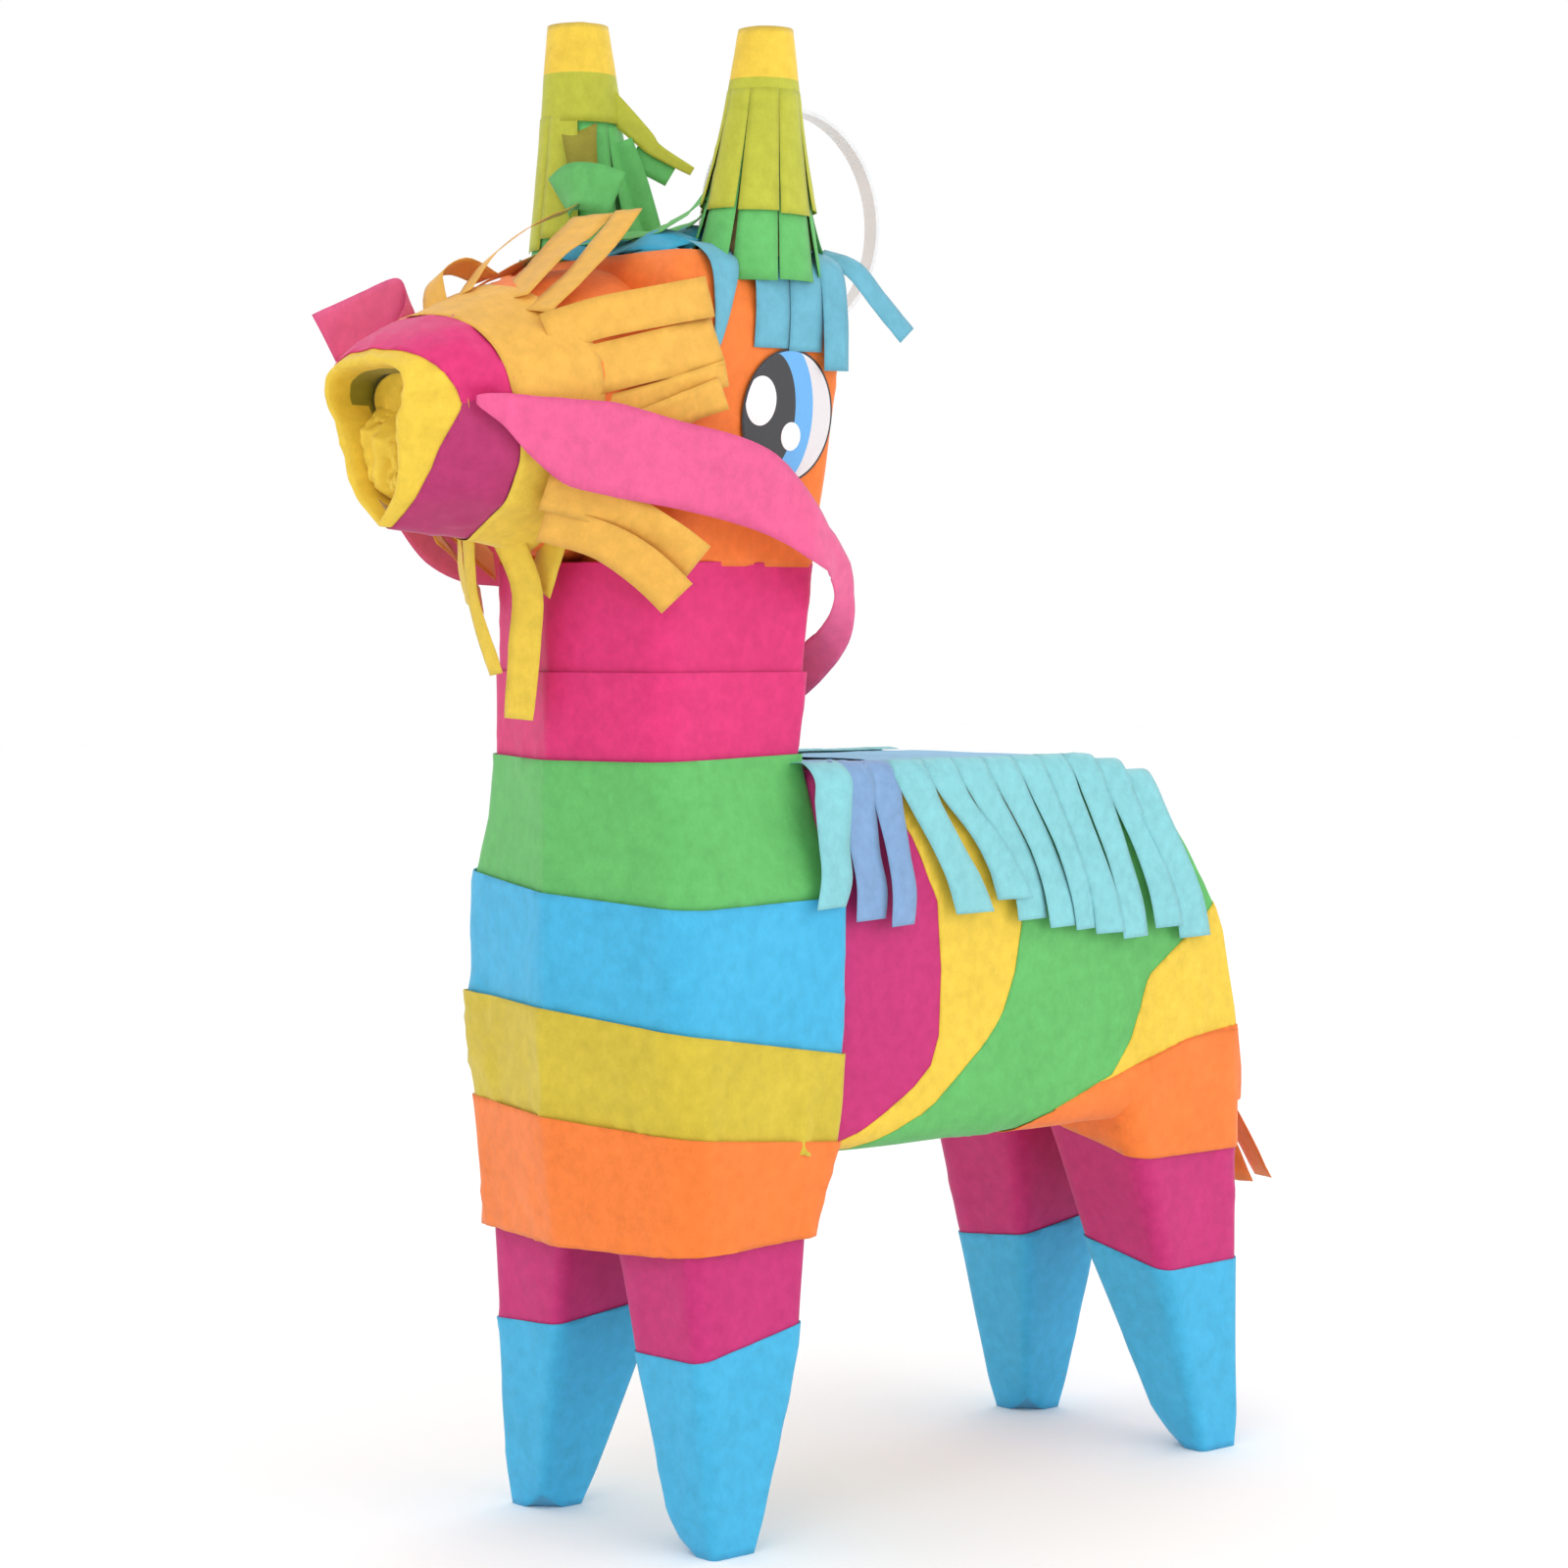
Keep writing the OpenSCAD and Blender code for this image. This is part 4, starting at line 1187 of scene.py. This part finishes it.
def dress_ears(context):
    seed = context.scene.pinata_wraps.seed
    field = crease_field(seed + 200, 8 * MM)
    for name, side, yellow, green in (
        ("left", 1, LEFT_YELLOW, LEFT_GREEN), ("right", -1, RIGHT_YELLOW, RIGHT_GREEN)
    ):
        chance = random.Random(seed + side)
        top = EARS[side][2]
        board_liner("ear_board_" + name, ear_cone(side, 336, top - 3, 0, False), ["ear_cone_" + name], 1.2)
        layers = [
            ("ear_yellow_", "yellow", top, 377, 1.5, yellow, top - 13), ("ear_green_", "green", top - 11, 375, 0.8, green, 0),
        ]
        for prefix, key, high, cut, grow, rows, change in layers:
            bm = ear_cone(side, cut, high, grow, prefix == "ear_yellow_")
            ear_strips(bm, side, rows, cut, grow, chance)
            for f in bm.faces:
                f.material_index = 1 if f.calc_center_median().z < change * MM else 0
            for layer, width, taper, finish, route in TORN_STRIPS if side < 0 else []:
                if layer == key:
                    before = set(bm.faces)
                    cut_strip(bm, width, (0.74, -0.67, 0.1), route, None, 1, taper)
                    for f in bm.faces:
                        if f not in before:
                            f.material_index = finish
            swell(bm, lambda p: field(p) * 0.3 * MM)
            node = prefix + name
            finish_piece(node, bm, [paper(key), paper("olive"), paper("shaded_olive")], "shell", [node], thick=0.12, inward=False)
        bm = bmesh.new()
        for width, taper, route in BLUE_STRIPS:
            cut_strip(bm, width, (1, 0, 0.35), route, None, side, taper)
        swell(bm, lambda p: field(p) * 0.3 * MM)
        node = "ear_blue_" + name
        finish_piece(node, bm, paper("dull_blue"), "shell", [node], thick=0.12, inward=False)


# Crown: width, colour, and route of each strip that lies between the ears
CROWN = [
    (11, 0, [(-30, -5, 337.5), (-14, -6, 340), (2, -5, 338.2), (18, -5, 340.5), (31, -3, 338)]),
    (12, 0, [(-26, 4, 339), (-10, 3, 342), (4, 4, 340), (20, 4, 342), (28, 5, 339)]),
    (12, 0, [(-24, 12, 338.4), (-8, 11, 339.6), (8, 12, 338.6), (22, 12, 339)]),
    (6.5, 1, [(-24, 4, 347), (-14, 0, 343), (2, -2, 342), (15, 1, 343), (22, 5, 347), (26.5, 9, 353)]),
    (4.5, 1, [(-22, 8, 346), (-8, 5, 344), (8, 6, 343.2), (19, 9, 345), (25, 11, 350)]),
    (6, 1, [(27, 2, 347), (20, 0, 344), (10, -1, 341.5)]),
]


def crown(context):
    seed = context.scene.pinata_wraps.seed
    chance = random.Random(seed + 9)
    bm = bmesh.new()
    for width, colour, route in CROWN:
        before = set(bm.faces)
        cut_strip(bm, width, (0, -0.5, 1), route, chance)
        for f in bm.faces:
            if f not in before:
                f.material_index = colour
    field = crease_field(seed + 210, 7 * MM)
    swell(bm, lambda p: field(p) * 0.9 * MM)
    finish_piece(
        "crown_tissue", bm, [paper("deep_blue"), paper("green")], "shell", ["crown_tissue"],
        thick=0.12, inward=False,
    )


class PINATA_OT_ears(bpy.types.Operator):
    """Dress both ears in three layers of cut tissue"""

    bl_idname = "pinata.ears"
    bl_label = "Ears"

    def execute(self, context):
        dress_ears(context)
        crown(context)
        return {"FINISHED"}


# ---------------------------------------------------------------- back


def laid_sheet(name, low, high, key, body, lift, seed, hole=None):
    """A thin sheet laid on the back, with a soft wave, a slightly lifted front edge and room for the flap."""
    bm = bmesh.new()
    bmesh.ops.create_grid(bm, x_segments=34, y_segments=40, size=0.5)
    field = crease_field(seed, 22 * MM, (1, 0.6, 1))
    for v in bm.verts:
        v.co = Vector((low.x + (high.x - low.x) * (v.co.x + 0.5), low.y + (high.y - low.y) * (v.co.y + 0.5), high.z))
    if hole:
        for corner, axis in ((hole[0], 0), (hole[0], 1), (hole[1], 0), (hole[1], 1)):
            bmesh.ops.bisect_plane(
                bm, geom=bm.verts[:] + bm.edges[:] + bm.faces[:], plane_co=corner,
                plane_no=(1 - axis, axis, 0),
            )
        inside = [
            f for f in bm.faces if all(hole[0][i] < f.calc_center_median()[i] < hole[1][i] for i in (0, 1))
        ]
        bmesh.ops.delete(bm, geom=inside, context="FACES")
    for v in bm.verts:
        near = max(0.0, 1 - (v.co.y - low.y) / (high.y - low.y) / 0.3)
        v.co.z += 0.3 * MM + abs(field(v.co)) * 0.7 * MM + lift * near * near * MM
    piece = finish_piece(name, bm, paper(key), body, [name], thick=0.12)
    return piece


def fringe_back(context):
    sizes = context.scene.pinata_wraps
    low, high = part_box("flap_sheet")
    laid_sheet("flap_sheet", low, high, "pale_blue", "flap", 0.9, 301)
    low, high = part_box("back_sheet")
    low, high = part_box("back_sheet")
    low = low - Vector((0, 3.2, 0)) * MM
    gap = Vector((0.6, 0.6, 0)) * MM
    flap_low, flap_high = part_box("flap_sheet")
    laid_sheet(
        "back_sheet", low, high, "pale_blue", "shell", 0, 302, (flap_low - gap, flap_high + gap)
    )
    for name, side in (("back_fringe_left", 1), ("back_fringe_right", -1)):
        chance = random.Random(sizes.seed + 11 * side)
        bm = bmesh.new()
        bmesh.ops.create_grid(bm, x_segments=64, y_segments=14, size=0.5)
        for v in bm.verts:
            back = 35 + 125 * (v.co.x + 0.5)
            out, drop = blend_rows(BORDER, v.co.y + 0.5)
            v.co = spot(side * out, back, blend_rows(BACK, back)[0] + drop)
        for number, (root, middle, tip, low, width) in enumerate(FRINGE):
            ridge = blend_rows(BACK, root)[0]
            kick = chance.uniform(0.2, 1.5)
            lean = chance.uniform(-0.15, 0.15)
            front = 1.8 if number == 0 else 0
            points = [
                (spot(side * 36, root, ridge + 1.5), Vector((0, 1, 0))),
                (spot(side * 42.2, root, ridge + 1.7), Vector((0, 1, 0))),
                (spot(side * (45.7 + front * 0.4), root + 0.5, ridge - 2.5), Vector((0, 1, 0))),
                (spot(side * (46.2 + front * 0.6), root * 0.7 + middle * 0.3, ridge - 9), Vector((0, 1, -0.1))),
                (spot(side * (46.3 + front), middle, (ridge + low) / 2 - 1), Vector((lean, 1, -0.2))),
                (spot(side * (46.3 + kick * 0.4 + front), (middle + tip) / 2 + 1.5, low + (ridge - low) * 0.22), Vector((lean, 1, -0.15))),
                (spot(side * (46 + kick + front), tip, low), Vector((lean * 1.5, 1, 0.02))),
            ]
            before = set(bm.faces)
            ribbon(bm, curve_route(points, width * 1.08 * MM, 28), 4)
            for f in bm.faces:
                if f not in before:
                    f.material_index = 1 if number in (1, 2) else 0
        field = crease_field(sizes.seed + 310, 12 * MM, (1, 1, 0.6))
        swell(bm, lambda p: field(p) * 0.4 * MM)
        piece = finish_piece(
            name, bm, [paper("aqua"), paper("lilac")], "shell", [name], thick=0.12, inward=False
        )


# Border of the fringe, from its edge on the back over the corner: share, out, below the ridge
BORDER = [(0, 34.6, 0.7), (0.4, 42.4, 0.8), (0.55, 44.2, -0.6), (0.7, 44.6, -3), (1, 44.7, -6)]
# Strips of the fringe: where each leaves the border, its middle and its tip along the back, lower end, width
FRINGE = [
    (34, 33.5, 31.4, 167, 12), (43, 46, 47.5, 163, 11.5), (53, 58, 58.8, 161, 9.6), (63.5, 76, 86, 163, 12.4),
    (75.5, 91, 101.5, 166, 10.8), (87, 102, 109, 160, 11.2), (98.5, 113, 120.6, 157.4, 10.8),
    (109.5, 123, 130.6, 156.2, 9.6), (119.5, 132, 139.4, 154.6, 9.4), (130.5, 143, 149.8, 152.8, 10.8),
    (141.5, 155.5, 163.8, 155, 10.8), (152.5, 167.5, 175.6, 151.5, 12.4),
]


class PINATA_OT_back(bpy.types.Operator):
    """Lay the sheets on the back and hang the fringe"""

    bl_idname = "pinata.back"
    bl_label = "Back sheet and fringe"

    def execute(self, context):
        fringe_back(context)
        return {"FINISHED"}


class PINATA_OT_tail(bpy.types.Operator):
    """Fan out the paper strips of the tail"""

    bl_idname = "pinata.tail"
    bl_label = "Tail"

    def execute(self, context):
        chance = random.Random(context.scene.pinata_wraps.seed + 77)
        bm = bmesh.new()
        for across, reach, low, width in (
            (-19, 18, 78, 9), (-10, 24, 70, 8), (-2, 20, 74, 9), (6, 27, 68, 8), (14, 31, 72, 9), (21, 33, 74, 9),
        ):
            lean = chance.uniform(-0.4, 0.4)
            points = [
                (spot(across * 0.7, 198.4, 128), Vector((1, 0, 0))),
                (spot(across * 0.75, 200.6, 120), Vector((1, 0, 0))),
                (spot(across * 0.95, 200 + reach * 0.55, 98), Vector((1, lean * 0.5, 0))),
                (spot(across * 1.1, 200 + reach, low), Vector((1, lean, 0))),
            ]
            ribbon(bm, curve_route(points, width * MM, 14), 3)
        field = crease_field(88, 9 * MM)
        swell(bm, lambda p: field(p) * 0.5 * MM)
        finish_piece("tail_strips", bm, paper("orange"), "shell", ["tail_strips"], thick=0.15, inward=False)
        return {"FINISHED"}


# ---------------------------------------------------------------- reins

# Middle of the ribbon from the left of the muzzle round the back of the neck to the right: place, width, its direction
REIN = [
    ((27.6, -67, 296), 2, (0, 0, 1)), ((31.6, -62, 293.6), 8, (0, -0.1, 1)), ((34.2, -56, 289.5), 16, (0, -0.2, 1)),
    ((37.6, -48, 286), 22, (0, -0.15, 1)), ((42.5, -34, 284), 24, (0.05, -0.1, 1)), ((47, -18.5, 280.8), 22, (0.1, -0.05, 1)),
    ((50, -2, 277.5), 22, (0.1, 0, 1)), ((51.5, 10, 273.5), 22, (0, -0.05, 1)), ((51.5, 21, 267), 19, (-0.1, 0, 1)),
    ((50, 29.5, 260.5), 13, (-0.3, 0.3, 0.8)), ((46, 37.8, 254), 10, (-0.2, 0.8, 0.4)), ((43, 41.5, 248.5), 9, (-0.2, 1, 0.1)),
    ((39, 44.4, 243), 9, (0, 1, -0.15)), ((32, 47.6, 237.6), 10, (0.2, 0.9, -0.4)), ((22, 50, 231.8), 11, (0.2, 0.7, -0.7)),
    ((10, 51.4, 225.4), 13, (0, 0.2, -1)),
    ((-4, 51.5, 219), 13, (0, 0.1, -1)), ((-20, 51, 221), 13, (0, 0.3, -1)), ((-34, 49, 228), 12, (-0.2, 0.7, -0.7)),
    ((-43, 43, 238), 11, (0, 1, -0.3)), ((-48, 33, 248), 13, (0.2, 0.5, 0.8)), ((-50, 20, 256), 18, (0.2, 0, 1)),
    ((-50, 2, 261), 20, (0, 0, 1)), ((-48, -15, 262.5), 20, (0, 0, 1)), ((-44, -31, 268), 20, (0, 0, 1)),
    ((-38, -46, 278), 16, (0, 0, 1)), ((-31.5, -56.5, 288), 10, (0, 0, 1)), ((-25.6, -65.5, 296), 2.5, (0, 0, 1)),
]
REIN_END = [
    ((-25.6, -65, 297), 3, (0, -0.3, 1)), ((-33, -54, 306), 9, (0.2, -0.6, 0.8)), ((-38, -40, 319), 12, (0.3, -0.4, 0.9)),
    ((-39.5, -39, 326.5), 13, (0, -0.5, 0.85)), ((-39.5, -51, 321.5), 14, (0, -0.52, 0.85)), ((-39, -66, 315), 14, (0, -0.54, 0.84)),
]


class PINATA_OT_reins(bpy.types.Operator):
    """Hang the tissue ribbon from the muzzle to behind the neck"""

    bl_idname = "pinata.reins"
    bl_label = "Reins"

    def execute(self, context):
        bm = bmesh.new()
        for table, count in ((REIN, 150), (REIN_END, 30)):
            line = curve_route([(spot(*place), Vector(wide)) for place, width, wide in table], 2.0, count)
            route = []
            for i, (place, half, sag) in enumerate(line):
                at = i / count * (len(table) - 1)
                k = min(int(at), len(table) - 2)
                width = table[k][1] + (table[k + 1][1] - table[k][1]) * (at - k)
                route.append((place, half * width / 2 * MM, sag))
            ribbon(bm, route, 7)
        field = crease_field(55, 14 * MM, (1, 1, 0.7))
        swell(bm, lambda p: field(p) * 0.7 * MM)
        piece = finish_piece("reins", bm, paper("ribbon"), "shell", ["reins"], thick=0.12, inward=False)
        return {"FINISHED"}


# ---------------------------------------------------------------- hanging tie


class PINATA_OT_tie(bpy.types.Operator):
    """Form the nylon tie with its ladder of teeth"""

    bl_idname = "pinata.tie"
    bl_label = "Hanging tie"

    def execute(self, context):
        FINISHES["nylon"] = clear_nylon("clear nylon")
        low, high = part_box("hanging_tie")
        pin = spot(0, 36.5, 328.5)
        loop = spot(0, 61.5, 351.5)
        pin_radius, loop_radius, thick = 9 * MM, 30 * MM, 1.2 * MM
        half_width = 2.4 * MM
        line = loop - pin
        bearing = math.atan2(line.z, line.y)
        open_angle = math.asin((loop_radius - pin_radius) / line.length)
        bm = bmesh.new()
        start_angle = bearing - math.pi / 2 - open_angle
        out = Vector((0, math.cos(start_angle), math.sin(start_angle)))
        base = loop + out * loop_radius
        square = [
            bm.verts.new(base + Vector((x, 0, 0)) + out * r)
            for x, r in ((-half_width, -thick / 2), (half_width, -thick / 2), (half_width, thick / 2), (-half_width, thick / 2))
        ]
        for a, b in zip(square, square[1:] + square[:1]):
            bm.edges.new((a, b))
        edges = bm.edges[:]
        turn = math.pi + 2 * open_angle
        pitch = 1.2 * MM
        made = bmesh.ops.spin(
            bm, geom=square + edges, cent=loop, axis=(1, 0, 0), dvec=(0, 0, 0), angle=turn,
            steps=round(loop_radius * turn / pitch), use_merge=False, use_duplicate=False,
        )
        last = [g for g in made["geom_last"] if isinstance(g, bmesh.types.BMEdge)]
        run = math.sqrt(line.length_squared - (loop_radius - pin_radius) ** 2)
        end_angle = start_angle + turn
        ahead = Vector((0, -math.sin(end_angle), math.cos(end_angle)))
        pieces = round(run / pitch)
        for i in range(pieces):
            grown = bmesh.ops.extrude_edge_only(bm, edges=last)["geom"]
            bmesh.ops.translate(bm, vec=ahead * run / pieces, verts=[g for g in grown if isinstance(g, bmesh.types.BMVert)])
            last = [g for g in grown if isinstance(g, bmesh.types.BMEdge)]
        rest = 2 * math.pi - turn
        made = bmesh.ops.spin(
            bm, geom=last + list({v for e in last for v in e.verts}), cent=pin, axis=(1, 0, 0), dvec=(0, 0, 0),
            angle=rest, steps=round(pin_radius * rest / pitch), use_merge=False, use_duplicate=False,
        )
        last = [g for g in made["geom_last"] if isinstance(g, bmesh.types.BMEdge)]
        bmesh.ops.bridge_loops(bm, edges=last + [e for e in edges if e.is_valid])
        bmesh.ops.remove_doubles(bm, verts=bm.verts[:], dist=1e-6)
        bmesh.ops.recalc_face_normals(bm, faces=bm.faces[:])
        bm.normal_update()
        outer = []
        for f in bm.faces:
            c = f.calc_center_median()
            anchor = loop if (c - loop).length < (c - pin).length + 8 * MM else pin
            if abs(f.normal.x) < 0.5 and f.normal.dot(c - anchor) > 0:
                outer.append(f)
        bmesh.ops.inset_individual(bm, faces=outer, thickness=0.28 * MM, depth=-0.3 * MM)
        lock = bmesh.ops.create_cube(bm, size=1)["verts"]
        place = (
            Matrix.Translation(pin) @ Matrix.Rotation(-math.pi / 4, 4, "X")
            @ Matrix.Translation((0, 0, -pin_radius - 2.0 * MM)) @ Matrix.Diagonal((5 * MM, 6.4 * MM, 4.6 * MM, 1))
        )
        bmesh.ops.transform(bm, matrix=place, verts=lock)
        bmesh.ops.bevel(
            bm, geom=[e for e in bm.edges if all(v in lock for v in e.verts)], offset=0.5 * MM, offset_type="OFFSET",
            segments=2, profile=0.5, affect="EDGES", material=-1,
        )
        finish_piece("hanging_tie_strap", bm, FINISHES["nylon"], "hanging_loop", ["hanging_tie"], thick=0, smooth=False)
        return {"FINISHED"}


# ---------------------------------------------------------------- board and stage


class PINATA_OT_board(bpy.types.Operator):
    """Give the hidden cardboard frame its material"""

    bl_idname = "pinata.board"
    bl_label = "Cardboard"

    def execute(self, context):
        board = cardboard("kraft board")
        slots = {s["node"]: s["material_slot"] for s in frame["record"]["subparts"]}
        for node, piece in frame["nodes"].items():
            if slots[node] == "board":
                piece.data.materials.clear()
                piece.data.materials.append(board)
        return {"FINISHED"}


def soft_light(name, place, target, size, power):
    light = bpy.data.lights.new(name, "AREA")
    light.shape = "DISK"
    light.size = size
    light.energy = power
    lamp = bpy.data.objects.new(name, light)
    bpy.context.scene.collection.objects.link(lamp)
    lamp.location = place
    lamp.rotation_euler = (target - Vector(place)).to_track_quat("-Z", "Y").to_euler()


class PINATA_OT_stage(bpy.types.Operator):
    """Set the floor, the studio light and the camera"""

    bl_idname = "pinata.stage"
    bl_label = "Stage"

    def execute(self, context):
        scene = context.scene
        setting = scene.pinata_stage
        bm = bmesh.new()
        bmesh.ops.create_grid(bm, x_segments=2, y_segments=2, size=6)
        mesh = bpy.data.meshes.new("floor")
        bm.to_mesh(mesh)
        bm.free()
        floor = bpy.data.objects.new("floor", mesh)
        scene.collection.objects.link(floor)
        plain = bpy.data.materials.new("plain floor")
        plain.use_nodes = True
        shader = plain.node_tree.nodes["Principled BSDF"]
        shader.inputs["Base Color"].default_value = (1, 1, 1, 1)
        shader.inputs["Roughness"].default_value = 0.9
        mesh.materials.append(plain)
        world = bpy.data.worlds.new("studio")
        world.use_nodes = True
        world.node_tree.nodes["Background"].inputs["Color"].default_value = (1, 1, 1, 1)
        world.node_tree.nodes["Background"].inputs["Strength"].default_value = 1.0
        scene.world = world
        centre = Vector((0, 0, 0.2))
        soft_light("key", (0.9, -1.6, 1.5), centre, 1.2, 5)
        soft_light("fill", (1.9, 0.3, 0.7), centre, 1.6, 8)
        soft_light("rim", (-0.9, 1.6, 1.4), centre, 1.2, 3)
        camera = bpy.data.cameras.new("camera")
        camera.lens = setting.lens
        camera.sensor_width = 36
        camera.clip_start = 0.05
        view = bpy.data.objects.new("camera", camera)
        scene.collection.objects.link(view)
        view.location = spot(745, -604, 239)
        back = Vector((
            math.sin(setting.bearing) * math.cos(setting.pitch),
            -math.cos(setting.bearing) * math.cos(setting.pitch),
            math.sin(setting.pitch),
        ))
        view.rotation_euler = back.to_track_quat("Z", "Y").to_euler()
        scene.camera = view
        scene.view_settings.view_transform = "Standard"
        scene.view_settings.look = "None"
        return {"FINISHED"}


OPERATORS = [
    PINATA_OT_column, PINATA_OT_legs, PINATA_OT_barrel, PINATA_OT_head, PINATA_OT_snout, PINATA_OT_face_fringe,
    PINATA_OT_eyes, PINATA_OT_ears, PINATA_OT_back, PINATA_OT_tail, PINATA_OT_reins, PINATA_OT_tie,
    PINATA_OT_board, PINATA_OT_stage,
]


class PINATA_PT_panel(bpy.types.Panel):
    """Lists the steps of the build"""

    bl_label = "Pinata"
    bl_idname = "PINATA_PT_panel"
    bl_space_type = "VIEW_3D"
    bl_region_type = "UI"
    bl_category = "Pinata"

    def draw(self, context):
        for operator in OPERATORS:
            self.layout.operator(operator.bl_idname)


GROUPS = {"pinata_colours": PinataColours, "pinata_wraps": PinataWraps, "pinata_stage": PinataStage}


def register():
    for cls in [*GROUPS.values(), *OPERATORS, PINATA_PT_panel]:
        bpy.utils.register_class(cls)
    for name, group in GROUPS.items():
        setattr(bpy.types.Scene, name, PointerProperty(type=group))


def unregister():
    for name in GROUPS:
        delattr(bpy.types.Scene, name)
    for cls in reversed([*GROUPS.values(), *OPERATORS, PINATA_PT_panel]):
        bpy.utils.unregister_class(cls)


def main():
    register()
    for operator in OPERATORS:
        group, step = operator.bl_idname.split(".")
        getattr(getattr(bpy.ops, group), step)()


if __name__ == "__main__":
    main()
